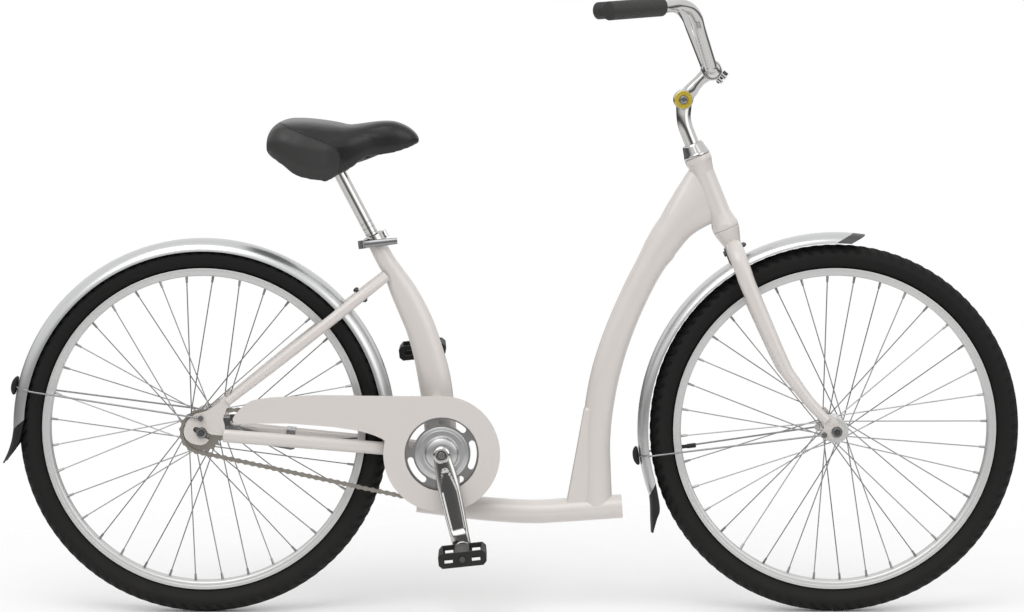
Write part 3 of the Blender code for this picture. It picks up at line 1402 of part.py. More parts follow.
def stem_arm(name):
    """The tilting arm: two cheeks on the lug, a beam and the bar's split clamp. Its pivot is its origin."""
    x, z = bar_offset()
    lean = math.degrees(math.atan2(z, x))
    reach = math.hypot(x, z)
    inner = LUG_HALF + GAP
    edge = arc(0, 0, STEM_EYE_R, lean + 62, lean + 298, 8)
    for side in (-1, 1):
        ex, ez = polar(0.040, lean)
        ox, oz = polar(0.011, lean + side * 90)
        edge.append((ex + ox, ez + oz))
    near = plate(name, [edge], -inner, -CHEEK_OUTER)
    far = plate("far", [edge], inner, CHEEK_OUTER)
    stations = []
    for share, deep, wide in ((0.0260, 0.0085, 0.0165), (0.0400, 0.0098, 0.0168),
                              (reach - 0.008, 0.0112, CLAMP_HALF - 0.001)):
        sx, sz = polar(share, lean)
        stations.append((sx, 0, sz, deep, wide))
    beam = cut(oval_tube("beam", stations, sides=10),
               crossbar("lug_way", 0, 0, -0.03, 0.03, STEM_EYE_R + 0.0008, 14))
    clamp = crossbar("clamp", x, z, -CLAMP_HALF, CLAMP_HALF, CLAMP_R, 14)
    ears = box("ears", (0.010, -0.0120, -EAR_HALF), (EAR_REACH + 0.0065, 0.0120, EAR_HALF))
    turn = Matrix.Translation(Vector((x, 0, z))) @ Matrix.Rotation(-math.radians(EAR_ANGLE), 4, "Y")
    ears.data.transform(turn)
    split = box("split", (0, -0.03, -0.0010), (0.04, 0.03, 0.0010))
    split.data.transform(turn)
    bolt_way = cylinder("bolt_way", (EAR_REACH, 0, -0.02), (EAR_REACH, 0, 0.02), bore(EAR_BOLT_R, 6), 6)
    bolt_way.data.transform(turn)
    bar_way = crossbar("bar_way", x, z, -0.03, 0.03, bore(BAR_CENTRE_R, 10), 10)
    pivot_way = crossbar("pivot_way", 0, 0, -0.03, 0.03, bore(PIVOT_BOLT_R, 6), 6)
    body = joined(near, far, beam, clamp, ears)
    return cut(body, split, bolt_way, bar_way, pivot_way)


def clamp_bolt(name):
    """The bolt that closes the bar clamp, in the stem arm's frame."""
    x, z = bar_offset()
    head = cylinder(name, (EAR_REACH, 0, EAR_HALF + GAP), (EAR_REACH, 0, EAR_HALF + 0.0055), 0.0050, 8)
    shank = cylinder("shank", (EAR_REACH, 0, -EAR_HALF - 0.002), (EAR_REACH, 0, EAR_HALF + 0.001),
                     EAR_BOLT_R, 8)
    bolt = joined(head, shank)
    turn = Matrix.Rotation(-math.radians(EAR_ANGLE), 4, "Y")
    bolt.data.transform(Matrix.Translation(Vector((x, 0, z))) @ turn)
    return bolt


def pivot_bolt(name):
    """The stem's pivot bolt, in the stem arm's frame."""
    shaft = crossbar(name, 0, 0, -CHEEK_OUTER - 0.003, CHEEK_OUTER + 0.005, PIVOT_BOLT_R, 8)
    head = crossbar("head", 0, 0, -CHEEK_OUTER - GAP, -CHEEK_OUTER - 0.0075, 0.0070, 10)
    nut = crossbar("nut", 0, 0, CHEEK_OUTER + GAP, CHEEK_OUTER + 0.006, 0.0070, 6)
    return joined(shaft, head, nut)


def pivot_ring(name):
    """The coloured ring round the pivot bolt's head."""
    profile = [(STEM_EYE_R - 0.0015, -CHEEK_OUTER - GAP), (STEM_EYE_R - 0.0015, -CHEEK_OUTER - 0.0018)]
    profile += [(0.0120, -CHEEK_OUTER - 0.0030), (0.0077, -CHEEK_OUTER - 0.0030),
                (0.0077, -CHEEK_OUTER - GAP)]
    return turned(name, profile, 10)


# Handlebar, in a frame at its clamp, square to the bicycle

BAR_PATH = ((0.0, 0.0, 0.0), (0.0, 0.040, 0.0), (-0.0035, 0.055, 0.0035), (-0.0075, 0.062, 0.0141),
            (-0.0275, 0.105, 0.0701), (-0.0357, 0.130, 0.0932), (-0.0495, 0.150, 0.1085),
            (-0.0725, 0.170, 0.1130), (-0.0935, 0.212, 0.1105))
BAR_END = (-0.1885, BAR_HALF_WIDTH - 0.002, 0.1035)


def handlebar(name):
    """The raised bar, thicker where the stem holds it."""
    half = [*BAR_PATH, BAR_END]
    points = [(x, -y, z) for x, y, z in reversed(half)] + half[1:]
    thick = BAR_CENTRE_R / BAR_R
    radii = [thick if abs(y) < 0.045 else 1.0 for _, y, _ in points]
    return rod(name, points, BAR_R, resolution=2, radii=radii)


def grip(name):
    """The left grip, a closed sleeve on the bar's end."""
    end = Vector(BAR_END)
    along = (end - Vector(BAR_PATH[-1])).normalized()
    start = end - along * GRIP_LENGTH
    body = cylinder(name, start, end + along * 0.003, GRIP_R, 12)
    return cut(body, cylinder("way", start - along * 0.01, end + along * GAP, bore(BAR_R, 12), 12))


# Seat post and saddle. The post's frame has its origin at the seat tube's top and z up along the post.

COLLAR_R = 0.0195
COLLAR_LOW = -0.011
COLLAR_HIGH = 0.006
SKEWER_R = 0.0028
SKEWER_X = -0.0225
SKEWER_END = -0.0127
LEVER_BARREL_R = 0.0070
LEVER_RISE = 6.4
SADDLE_HEAD_R = 0.011
SADDLE_HEAD_HALF = 0.0151
RAIL_STRAIGHT = (-0.050, 0.040)


def seat_post(name):
    """The seat post with its cross head."""
    post = cylinder(name, (0, 0, -POST_INSERTION), (0, 0, SADDLE_PIVOT_HEIGHT - 0.004), POST_R, 12)
    head = crossbar("head", 0, SADDLE_PIVOT_HEIGHT, -SADDLE_HEAD_HALF, SADDLE_HEAD_HALF, SADDLE_HEAD_R, 16)
    ways = crossbar("ways", 0, SADDLE_PIVOT_HEIGHT, -0.02, 0.02, bore(0.004, 10), 10)
    return cut(joined(post, head), ways)


def seat_collar(name):
    """The split collar round the seat tube's top, with its ears, its skewer and a barrel in front."""
    inner = bore(SEAT_TUBE_TOP_R + 0.0006, 12)
    lip = bore(POST_R, 12, GAP)
    profile = [(inner, COLLAR_LOW), (COLLAR_R, COLLAR_LOW), (COLLAR_R, COLLAR_HIGH - 0.002)]
    profile += [(COLLAR_R - 0.002, COLLAR_HIGH), (lip, COLLAR_HIGH), (lip, GAP), (inner, GAP)]
    ring = turned(name, profile, 12, axis="Z")
    ears = box("ears", (SKEWER_X - 0.0055, -0.0080, -0.0070), (-0.0165, 0.0080, 0.0050))
    barrel = cylinder("barrel", (COLLAR_R + 0.001, 0, -0.0090), (COLLAR_R + 0.001, 0, 0.0040), 0.0045, 8)
    slot = box("slot", (-0.04, -0.0010, -0.03), (-0.005, 0.0010, 0.02))
    skewer = crossbar("skewer", SKEWER_X, 0.0, SKEWER_END, 0.0140, SKEWER_R, 8)
    nut = crossbar("nut", SKEWER_X, 0.0, 0.0075, 0.0125, 0.0060, 8)
    body = joined(ring, ears, barrel)
    body = joined(cut(body, slot), skewer, nut)
    return body


def seat_lever(name):
    """The collar's quick lever, in its hinge's frame: x along the closed lever."""
    barrel = cylinder(name, (0, 0, -0.0070), (0, 0, 0.0070), LEVER_BARREL_R, 12)
    stations = [(0.002, -0.0033, 0, 0.0058, 0.0025), (0.030, -0.0036, 0, 0.0065, 0.0025)]
    stations.append((0.062, -0.0045, 0, 0.0055, 0.0022))
    return joined(barrel, oval_tube("blade", stations, sides=10))


def saddle_clamp(name):
    """The clamp between post and rails: a channel with two pivot stubs. Its pivot is its origin."""
    body = box(name, (-0.017, -0.029, -0.009), (0.017, 0.029, 0.017))
    channel = box("channel", (-0.03, -SADDLE_HEAD_HALF - GAP, -0.02),
                  (0.03, SADDLE_HEAD_HALF + GAP, SADDLE_HEAD_R + 0.0008))
    rails = []
    for side in (-1, 1):
        y = side * RAIL_SPREAD
        rails.append(cylinder("rail_way", (-0.03, y, 0), (0.03, y, 0), bore(RAIL_R, 8), 8))
    body = cut(body, channel, *rails)
    stubs = []
    for side in (-1, 1):
        stubs.append(crossbar("stub", 0, 0, side * 0.0115, side * 0.0165, 0.004, 10))
        stubs.append(crossbar("bolt", 0, 0, side * 0.0285, side * 0.0330, 0.0065, 8))
    return joined(body, *stubs)


def saddle_rails(name):
    """One bent wire: round the nose, straight through the clamp and up under the saddle's back."""
    rear, front = RAIL_STRAIGHT
    y = RAIL_SPREAD
    half = [(0.1070, 0.0, 0.0217), (0.1040, 0.0085, 0.0217), (0.0920, 0.0130, 0.0195),
            (0.0640, 0.0180, 0.0080)]
    half += [(front, y, 0.0), (rear, y, 0.0), (-0.0720, 0.0290, 0.0100), (-0.0850, 0.0350, 0.0232)]
    points = [(px, -py, pz) for px, py, pz in reversed(half)] + half[1:]
    return rod(name, points, RAIL_R, resolution=2)


SADDLE_FORM = (
    (-0.114, 0.0280, 0.0210, 0.060),
    (-0.110, 0.0500, 0.0150, 0.090),
    (-0.098, 0.0660, 0.0060, 0.103),
    (-0.081, 0.0730, -0.0060, 0.110),
    (-0.062, 0.0738, -0.0205, 0.111),
    (-0.044, 0.0735, -0.0270, 0.109),
    (-0.021, 0.0708, -0.0310, 0.102),
    (-0.007, 0.0685, -0.0330, 0.096),
    (0.009, 0.0660, -0.0240, 0.083),
    (0.031, 0.0620, -0.0130, 0.063),
    (0.060, 0.0654, 0.0080, 0.045),
    (0.083, 0.0695, 0.0110, 0.038),
    (0.108, 0.0695, 0.0150, 0.034),
    (0.132, 0.0600, 0.0225, 0.027),
    (0.146, 0.0480, 0.0290, 0.018),
    (0.151, 0.0395, 0.0305, 0.011),
)
SADDLE_BASE_TOP = 0.030
SADDLE_BASE_LOW = 0.026
SADDLE_SKIRT = 0.010


def saddle_cover(name):
    """The padded cover: a crown over a deep skirt, hollow below for the base and rails."""
    rings = []
    roof = SADDLE_BASE_TOP + GAP
    for x, top, low, half in SADDLE_FORM:
        tall = top - low
        seam = low + 0.62 * tall
        outer = [(0.900 * half, low), (0.985 * half, low + 0.22 * tall), (half, seam - 0.05 * tall)]
        outer += [(0.965 * half, seam), (0.975 * half, seam + 0.05 * tall), (0.870 * half, top - 0.14 * tall)]
        outer += [(0.600 * half, top - 0.03 * tall), (0.250 * half, top)]
        inner_half = max(0.900 * half - SADDLE_SKIRT, 0.3 * half)
        inner_z = max(low + 0.0004, min(roof, top - 0.006))
        inner = [(0.08 * half, inner_z), (inner_half, inner_z), (inner_half + 0.002, low)]
        if inner_z <= low + 0.0005:
            inner[-1] = (inner_half + 0.002, low)
        section = outer + [(-y, z) for y, z in reversed(outer)] + [(-y, z) for y,
                                                                   z in reversed(inner)] + inner
        rings.append([(x, y, z) for y, z in section])
    return loft(name, rings)


def saddle_base(name):
    """The flat shell that the rails carry, inside the cover."""
    rings = []
    for z in (SADDLE_BASE_LOW, SADDLE_BASE_TOP):
        side = [(x, max(0.900 * half - SADDLE_SKIRT - 0.0015, 0.008)) for x, _, _, half in SADDLE_FORM[2:14]]
        rings.append([(x, y, z) for x, y in side] + [(x, -y, z) for x, y in reversed(side)])
    return loft(name, rings)


# Assembly

def placed(obj, matrix):
    """The object moved into another frame."""
    obj.data.transform(matrix)
    return obj


FRONT_WHEEL = Matrix.Translation(Vector((FORK_RAKE, 0, 0))) @ Matrix.Rotation(STEER, 4, "Y")
TIP_GAP = math.degrees(GAP / FRONT_CROWN_R)
REAR_TIP_GAP = math.degrees(GAP / REAR_CROWN_R)
FRONT_DROPS = ((0.0015, -0.020, 0.0275, 0.0165), (0.0020, -0.040, 0.0255, 0.0110),
               (0.0032, -0.0645, 0.0220, 0.0030))
REAR_DROPS = ((-0.003, -0.018, 0.0275, 0.0165), (-0.009, -0.038, 0.0250, 0.0100))


def front_fender(name):
    """The front mudguard with the bracket that bolts to the fork's crown, in the steering frame."""
    shell = fender_shell(name, FRONT_CROWN_R, FRONT_EDGE_R, FRONT_FENDER_START, FRONT_FENDER_END)
    placed(shell, FRONT_WHEEL)
    leaf = box("leaf", (-0.0171, -0.008, 0.3380), (-0.0151, 0.008, CROWN_BOLT_UP + 0.009))
    head = cylinder("head", (-0.0166, 0, CROWN_BOLT_UP), (-0.0205, 0, CROWN_BOLT_UP), 0.0050, 8)
    shank = cylinder("shank", (-0.0160, 0, CROWN_BOLT_UP), (-0.0080, 0, CROWN_BOLT_UP), 0.0025, 8)
    return joined(shell, leaf, head, shank)


def add_fixed_parts(bike):
    """Everything that stays with the frame."""
    at_axle = Matrix.Translation(REAR_AXLE)
    finished(main_frame("main_frame"), pearl_paint(), bike)
    finished(rear_stays("rear_stays"), pearl_paint(), bike)
    finished(chain_guard("chain_guard"), pearl_paint(), bike)
    finished(guard_bracket("guard_bracket"), dark_steel(), bike)
    upper = HEAD_TUBE_END - BEARING_HEIGHT
    finished(head_bearing("headset_bearing_upper", upper), dark_steel(), bike)
    finished(head_bearing("headset_bearing_lower", HEAD_TUBE_START + GAP), dark_steel(), bike)
    finished(placed(cartridge("bottom_bracket_cartridge"), Matrix.Translation(BRACKET)), dark_steel(), bike)
    finished(placed(rear_axle("rear_axle"), at_axle), dark_steel(), bike)
    for side, name in ((-1, "rear_axle_nut_right"), (1, "rear_axle_nut_left")):
        nut = axle_nut(name, REAR_AXLE_R, DROPOUT_OUTER + GAP, side)
        finished(placed(nut, at_axle), polished_metal(), bike)
    finished(brake_arm("brake_arm"), satin_aluminium(), bike)
    finished(brake_arm_clip("brake_arm_clip"), satin_aluminium(), bike)
    finished(rear_fender("rear_fender"), silver_paint(), bike)
    stay = stay_wire("rear_fender_stay", EYELET, DROPOUT_OUTER, REAR_CROWN_R, REAR_EDGE_R, REAR_CAP_ANGLE)
    finished(placed(stay, at_axle), dark_steel(), bike)
    finished(placed(stay_cap("rear_stay_cap", REAR_CROWN_R, REAR_CAP_ANGLE), at_axle), black_plastic(), bike)
    drops = (*REAR_DROPS, (REAR_CROWN_R - REAR_FLAP_REACH, -0.058, 0.0220, 0.0030))
    flap = mud_flap("rear_mud_flap", REAR_CROWN_R, REAR_EDGE_R, REAR_FENDER_END + REAR_TIP_GAP, drops)
    finished(placed(flap, at_axle), black_plastic(), bike)
    finished(placed(seat_collar("seat_collar"), SEATING), polished_metal(), bike)


def add_wheel(prefix, hub, valve_angle, axis):
    """A wheel's four pieces."""
    finished(tyre(prefix + "_tyre"), tyre_rubber(), axis)
    finished(rim(prefix + "_rim", valve_angle), satin_aluminium(), axis)
    finished(inner_tube(prefix + "_inner_tube", valve_angle), tyre_rubber(), axis)
    finished(hub(prefix + "_hub_and_spokes"), satin_aluminium(), axis)


def add_crank(bike):
    """The cranks with their ring, chain and pedals."""
    axis = empty("crank_axis", bike, BRACKET)
    finished(spindle("bb_spindle"), dark_steel(), axis)
    finished(crank_right("crank_right"), polished_metal(), axis)
    finished(crank_left("crank_left"), polished_metal(), axis)
    finished(chainring("chainring"), dark_steel(), axis)
    finished(chain("chain"), dark_steel(), axis)
    turn = math.radians(CRANK_ANGLE)
    reach = Vector((CRANK_LENGTH * math.sin(turn), 0, -CRANK_LENGTH * math.cos(turn)))
    for side, word in ((1, "right"), (-1, "left")):
        pin = pedal_axle("pin")
        body = pedal("body")
        if side < 0:
            for old in (pin, body):
                mirrored(old, old.name + "_left")
                bpy.data.objects.remove(old)
            pin = bpy.data.objects["pin_left"]
            body = bpy.data.objects["body_left"]
        pin.name = "pedal_axle_" + word
        body.name = "pedal_" + word
        finished(placed(pin, Matrix.Translation(reach * side)), dark_steel(), axis)
        pedal_axis = empty("pedal_axis_" + word, axis, reach * side)
        finished(moved(body, turn_y=-math.radians(PEDAL_TILT)), black_plastic(), pedal_axis)


def add_steering(bike):
    """The fork and everything that turns with it."""
    axis = empty("steering_axis", bike, STEER_FOOT, -STEER)
    finished(fork("fork"), pearl_paint(), axis)
    finished(headset_cone("headset_cone"), polished_metal(), axis)
    finished(stem_quill("stem_quill"), polished_metal(), axis)
    at_hub = Matrix.Translation(Vector((FORK_RAKE, 0, 0)))
    finished(placed(front_axle("front_axle"), at_hub), dark_steel(), axis)
    outer = FRONT_HUB_WIDTH / 2 + GAP + DROPOUT_THICKNESS
    for side, name in ((-1, "front_axle_nut_right"), (1, "front_axle_nut_left")):
        finished(placed(axle_nut(name, FRONT_AXLE_R, outer + GAP, side), at_hub), polished_metal(), axis)
    finished(front_fender("front_fender"), silver_paint(), axis)
    tip = fender_shell("front_fender_tip", FRONT_CROWN_R, FRONT_EDGE_R, TIP_START,
                       FRONT_FENDER_START - TIP_GAP)
    finished(placed(tip, FRONT_WHEEL), dark_steel(), axis)
    eyelet = FRONT_WHEEL.inverted() @ Vector((FORK_RAKE + FORK_EYELET[0], 0, FORK_EYELET[1]))
    stay = stay_wire("front_fender_stay", (eyelet.x, eyelet.z), outer, FRONT_CROWN_R, FRONT_EDGE_R,
                     FRONT_CAP_ANGLE)
    finished(placed(stay, FRONT_WHEEL), dark_steel(), axis)
    cap = stay_cap("front_stay_cap", FRONT_CROWN_R, FRONT_CAP_ANGLE)
    finished(placed(cap, FRONT_WHEEL), black_plastic(), axis)
    flap = mud_flap("front_mud_flap", FRONT_CROWN_R, FRONT_EDGE_R, FRONT_FENDER_END + TIP_GAP, FRONT_DROPS)
    finished(placed(flap, FRONT_WHEEL), black_plastic(), axis)
    wheel_axis = empty("front_wheel_axis", axis, (FORK_RAKE, 0, 0), STEER)
    add_wheel("front", front_hub, FRONT_VALVE_ANGLE, wheel_axis)
    add_stem(axis)


def add_stem(steering_axis):
    """The tilting stem arm and the bar in its clamp."""
    axis = empty("stem_axis", steering_axis, (STEM_PIVOT[0], 0, STEM_PIVOT[1]))
    finished(stem_arm("stem_arm"), polished_metal(), axis)
    finished(pivot_bolt("stem_pivot_bolt"), dark_steel(), axis)
    finished(pivot_ring("stem_pivot_ring"), yellow_plastic(), axis)
    finished(clamp_bolt("bar_clamp_bolt"), dark_steel(), axis)
    x, z = bar_offset()
    bar_axis = empty("bar_axis", axis, (x, 0, z), STEER)
    finished(handlebar("handlebar"), polished_metal(), bar_axis)
    left = grip("grip_left")
    right = mirrored(left, "grip_right")
    finished(left, grey_grip(), bar_axis)
    finished(right, grey_grip(), bar_axis)


def add_seat(bike):
    """The post, the clamp on its head and the saddle that slides in the clamp."""
    post_axis = empty("seat_axis", bike, SEAT_TOP, -LEAN)
    finished(seat_post("seat_post"), polished_metal(), post_axis)
    saddle_axis = empty("saddle_axis", post_axis, (0, 0, SADDLE_PIVOT_HEIGHT), LEAN)
    finished(saddle_clamp("saddle_clamp"), dark_steel(), saddle_axis)
    slide_axis = empty("saddle_slide_axis", saddle_axis)
    finished(saddle_rails("saddle_rails"), dark_steel(), slide_axis)
    finished(saddle_base("saddle_base"), black_plastic(), slide_axis)
    finished(saddle_cover("saddle_cover"), saddle_skin(), slide_axis)
    hinge = SEATING @ Vector((SKEWER_X, SKEWER_END - GAP - LEVER_BARREL_R, 0))
    lever_axis = empty("lever_axis", bike, hinge, -math.radians(LEVER_RISE))
    finished(seat_lever("seat_lever"), black_plastic(), lever_axis)


def build():
    """The whole bicycle."""
    bike = empty("bike", place=(AXLE_X, 0, 0))
    add_fixed_parts(bike)
    rear_wheel_axis = empty("rear_wheel_axis", bike, REAR_AXLE)
    add_wheel("rear", rear_hub, REAR_VALVE_ANGLE, rear_wheel_axis)
    sprocket_axis = empty("sprocket_axis", bike, REAR_AXLE)
    finished(rear_sprocket("rear_sprocket"), dark_steel(), sprocket_axis)
    add_crank(bike)
    add_steering(bike)
    add_seat(bike)


build()
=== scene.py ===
import itertools
import math

import bmesh
import bpy
import numpy as np
from mathutils import Matrix, Vector
from mathutils.bvhtree import BVHTree


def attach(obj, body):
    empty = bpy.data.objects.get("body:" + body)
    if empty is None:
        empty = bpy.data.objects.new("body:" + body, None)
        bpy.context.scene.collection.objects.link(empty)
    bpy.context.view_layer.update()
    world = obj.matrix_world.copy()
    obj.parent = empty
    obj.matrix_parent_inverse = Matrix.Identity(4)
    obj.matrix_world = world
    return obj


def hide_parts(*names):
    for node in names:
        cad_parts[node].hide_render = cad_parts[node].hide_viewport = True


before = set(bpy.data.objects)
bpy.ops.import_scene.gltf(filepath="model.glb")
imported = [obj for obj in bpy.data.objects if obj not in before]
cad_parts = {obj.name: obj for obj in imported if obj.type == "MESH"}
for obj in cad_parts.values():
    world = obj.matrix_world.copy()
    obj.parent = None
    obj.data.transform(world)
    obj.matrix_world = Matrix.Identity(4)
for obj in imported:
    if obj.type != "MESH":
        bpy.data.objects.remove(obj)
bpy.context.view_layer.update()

bl_info = {
    "name": "Step-through bicycle",
    "version": (1, 0, 0),
    "blender": (4, 5, 0),
    "location": "View3D > Sidebar > Bicycle",
    "description": "Dresses the bicycle's solids with smooth surfaces and procedural finishes",
    "category": "Object",
}

ACROSS = np.array((0.0, 1.0, 0.0))

# Frames and shared sizes of the CAD model, in metres. Angles are in degrees unless they are named TURN.
REAR_HUB = np.array((-0.54225, 0.0, 0.3265))
FRONT_HUB = np.array((0.57175, 0.0, 0.3265))
BRACKET = np.array((-0.12183, 0.0, 0.288))
STEER_ANGLE = 22.1
STEER_TURN = math.radians(STEER_ANGLE)
STEER_FOOT = np.array((0.52959, 0.0, 0.30938))
STEERING = Matrix.Translation(STEER_FOOT) @ Matrix.Rotation(-STEER_TURN, 4, "Y")
SEAT_TURN = math.radians(27.5)
SEAT_TOP = np.array((-0.24143, 0.0, 0.6645))
SEATING = Matrix.Translation(SEAT_TOP) @ Matrix.Rotation(-SEAT_TURN, 4, "Y")
TYRE_R = 0.3265
RIM_R = 0.2855


# Shapes. Each returns points and faces, which one piece can gather from several shapes.

def grid_faces(rows, cols, wrap_rows=False, wrap_cols=True):
    """Quads of a grid of points: face (r, c) joins (r, c), (r, c + 1), (r + 1, c + 1) and (r + 1, c)."""
    r = np.arange(rows if wrap_rows else rows - 1)[:, None]
    c = np.arange(cols if wrap_cols else cols - 1)[None, :]
    r2 = (r + 1) % rows
    c2 = (c + 1) % cols
    return np.stack([r * cols + c, r * cols + c2, r2 * cols + c2, r2 * cols + c], -1).reshape(-1, 4).tolist()


def flowing(knots, steps):
    """Rows on a Catmull-Rom curve through the knots.

    Between b and c it is b + t/2 (c - a + t (2a - 5b + 4c - d + t (3b - a - 3c + d))).
    """
    k = np.array(knots, float)
    k = np.vstack([2 * k[0] - k[1], k, 2 * k[-1] - k[-2]])
    a, b, c, d = k[:-3], k[1:-2], k[2:-1], k[3:]
    t = (np.arange(steps) / steps)[None, :, None]
    a, b, c, d = (m[:, None, :] for m in (a, b, c, d))
    rows = b + 0.5 * t * (c - a + t * (2 * a - 5 * b + 4 * c - d + t * (3 * b - a - 3 * c + d)))
    return np.vstack([rows.reshape(-1, k.shape[1]), k[-2:-1]])


def directions(path):
    """Unit vectors along a path, from the differences of its points."""
    along = np.gradient(path, axis=0)
    return along / np.linalg.norm(along, axis=1)[:, None]


def carried(rows, sides, across=(0, 1, 0), power=2.0, hollow=None):
    """An oval section carried along a path: centre + n depth cos(a) + w width sin(a), each raised to 2 / power.

    A row is x, y, z, half depth and half width. The section's w lies along the across direction. A hollow is
    the wall and how far the first and last ends are open, both in metres.
    """
    rows = np.array(rows, float)
    centres = rows[:, :3]
    along = directions(centres)
    n = np.cross(np.array(across, float)[None, :], along)
    n /= np.linalg.norm(n, axis=1)[:, None]
    w = np.cross(along, n)
    depth = rows[:, 3]
    width = rows[:, 4]
    if hollow:
        wall, open_first, open_last = hollow
        if open_first:
            centres = np.vstack([centres[0] + along[0] * open_first, centres[0], centres])
            n, w = np.vstack([n[0], n[0], n]), np.vstack([w[0], w[0], w])
            depth = np.concatenate([[depth[0] - wall] * 2, depth])
            width = np.concatenate([[width[0] - wall] * 2, width])
        if open_last:
            centres = np.vstack([centres, centres[-1], centres[-1] - along[-1] * open_last])
            n, w = np.vstack([n, n[-1], n[-1]]), np.vstack([w, w[-1], w[-1]])
            depth = np.concatenate([depth, [depth[-1] - wall] * 2])
            width = np.concatenate([width, [width[-1] - wall] * 2])
    a = np.linspace(0, 2 * np.pi, sides, endpoint=False)
    ca = np.sign(np.cos(a)) * np.abs(np.cos(a)) ** (2 / power)
    sa = np.sign(np.sin(a)) * np.abs(np.sin(a)) ** (2 / power)
    points = centres[:, None, :] + n[:, None, :] * (depth[:, None] * ca)[:, :, None]
    points = points + w[:, None, :] * (width[:, None] * sa)[:, :, None]
    count = len(centres)
    faces = grid_faces(count, sides)
    faces += [list(range(sides)), list(range((count - 1) * sides, count * sides))]
    return points.reshape(-1, 3), faces


def wire(points, radius, sides, steps, across):
    """A round bar along a smooth path."""
    path = flowing(points, steps)
    rows = np.hstack([path, np.full((len(path), 2), radius)])
    return carried(rows, sides, across)


def spun(profile, sides, axis="Y", closed=True):
    """A profile of (radius, height) turned about an axis.

    Its points are (r cos a, h, r sin a) about Y and (r cos a, r sin a, h) about Z.
    """
    p = np.array(profile, float)
    a = np.linspace(0, 2 * np.pi, sides, endpoint=False)[:, None]
    x = p[None, :, 0] * np.cos(a)
    s = p[None, :, 0] * np.sin(a)
    h = np.broadcast_to(p[None, :, 1], x.shape)
    points = np.stack([x, h, s] if axis == "Y" else [x, s, h], -1).reshape(-1, 3)
    return points, grid_faces(sides, len(p), True, closed)


def rounded(profile, radius, steps=4, closed=True):
    """A profile whose corners become short curves: (1 - t)^2 before + 2 t (1 - t) corner + t^2 after."""
    p = [np.array(q, float) for q in profile]
    out = []
    for index, corner in enumerate(p):
        if not closed and index in (0, len(p) - 1):
            out.append(corner)
            continue
        before = p[index - 1] - corner
        after = p[(index + 1) % len(p)] - corner
        cut = min(radius, 0.45 * np.linalg.norm(before), 0.45 * np.linalg.norm(after))
        start = corner + before / max(np.linalg.norm(before), 1e-9) * cut
        stop = corner + after / max(np.linalg.norm(after), 1e-9) * cut
        t = np.linspace(0, 1, steps)[:, None]
        out.extend((1 - t) ** 2 * start + 2 * t * (1 - t) * corner + t ** 2 * stop)
    return np.array(out)


def arc(x, z, radius, start, stop, steps):
    """Points (x, z) on an arc between two angles in degrees, from +X toward +Z."""
    a = np.radians(np.linspace(start, stop, steps + 1))
    return np.stack([x + radius * np.cos(a), z + radius * np.sin(a)], -1)


def polar(radius, angle):
    """The (x, z) place at a radius and an angle in degrees."""
    return radius * math.cos(math.radians(angle)), radius * math.sin(math.radians(angle))


def sheet_metal(outlines, y_from, y_to):
    """A flat plate across Y between two depths: the first outline is its edge and the others are its holes."""
    edge = np.vstack(outlines)
    count = len(edge)
    stops = np.cumsum([len(outline) for outline in outlines])
    here = np.arange(count)
    after = here + 1
    after[stops - 1] = stops - [len(outline) for outline in outlines]
    near = np.column_stack([edge[:, 0], np.full(count, y_from), edge[:, 1]])
    flat = bpy.data.meshes.new("plate")
    flat.from_pydata(near.tolist(), np.column_stack([here, after]).tolist(), [])
    work = bmesh.new()
    work.from_mesh(flat)
    bmesh.ops.triangle_fill(work, use_beauty=True, edges=work.edges[:])
    work.to_mesh(flat)
    work.free()
    corners = np.empty(len(flat.loops), np.int32)
    flat.loops.foreach_get("vertex_index", corners)
    bpy.data.meshes.remove(flat)
    front = corners.reshape(-1, 3)
    faces = front.tolist() + (front[:, ::-1] + count).tolist()
    faces += np.column_stack([here, after, after + count, here + count]).tolist()
    return np.vstack([near, near + (0, y_to - y_from, 0)]), faces


def bar(start, end, radius, sides, end_radius=None):
    """A straight round bar."""
    last = radius if end_radius is None else end_radius
    along = np.array(end, float) - np.array(start, float)
    across = (1, 0, 0) if abs(along[0]) < 0.9 * np.linalg.norm(along) else (0, 0, 1)
    return carried([(*start, radius, radius), (*end, last, last)], sides, across)


def block(low, high):
    """A box from its lowest to its highest corner."""
    x0, y0, z0 = low
    x1, y1, z1 = high
    points = np.array([(x, y, z) for x in (x0, x1) for y in (y0, y1) for z in (z0, z1)])
    return points, [[0, 1, 3, 2], [4, 6, 7, 5], [0, 4, 5, 1], [2, 3, 7, 6], [0, 2, 6, 4], [1, 5, 7, 3]]


def set_at(shape, place):
    """A shape moved by a matrix, or by a shift of three numbers."""
    points, faces = shape
    if not isinstance(place, Matrix):
        return points + np.array(place), faces
    m = np.array(place)
    return points @ m[:3, :3].T + m[:3, 3], faces


def other_side(shape):
    """A shape mirrored across the bicycle's middle plane; its normals are worked out again later."""
    points, faces = shape
    return points * np.array((1, -1, 1)), faces


def turned_up(angle):
    """A turn about Y that carries +X toward +Z by an angle in degrees."""
    return Matrix.Rotation(-math.radians(angle), 4, "Y")


# Pieces

BEVEL_ANGLE = 40
WELD = 1e-6
REFINED_WELD = 2e-6
REFINED_SHARP = 42.0


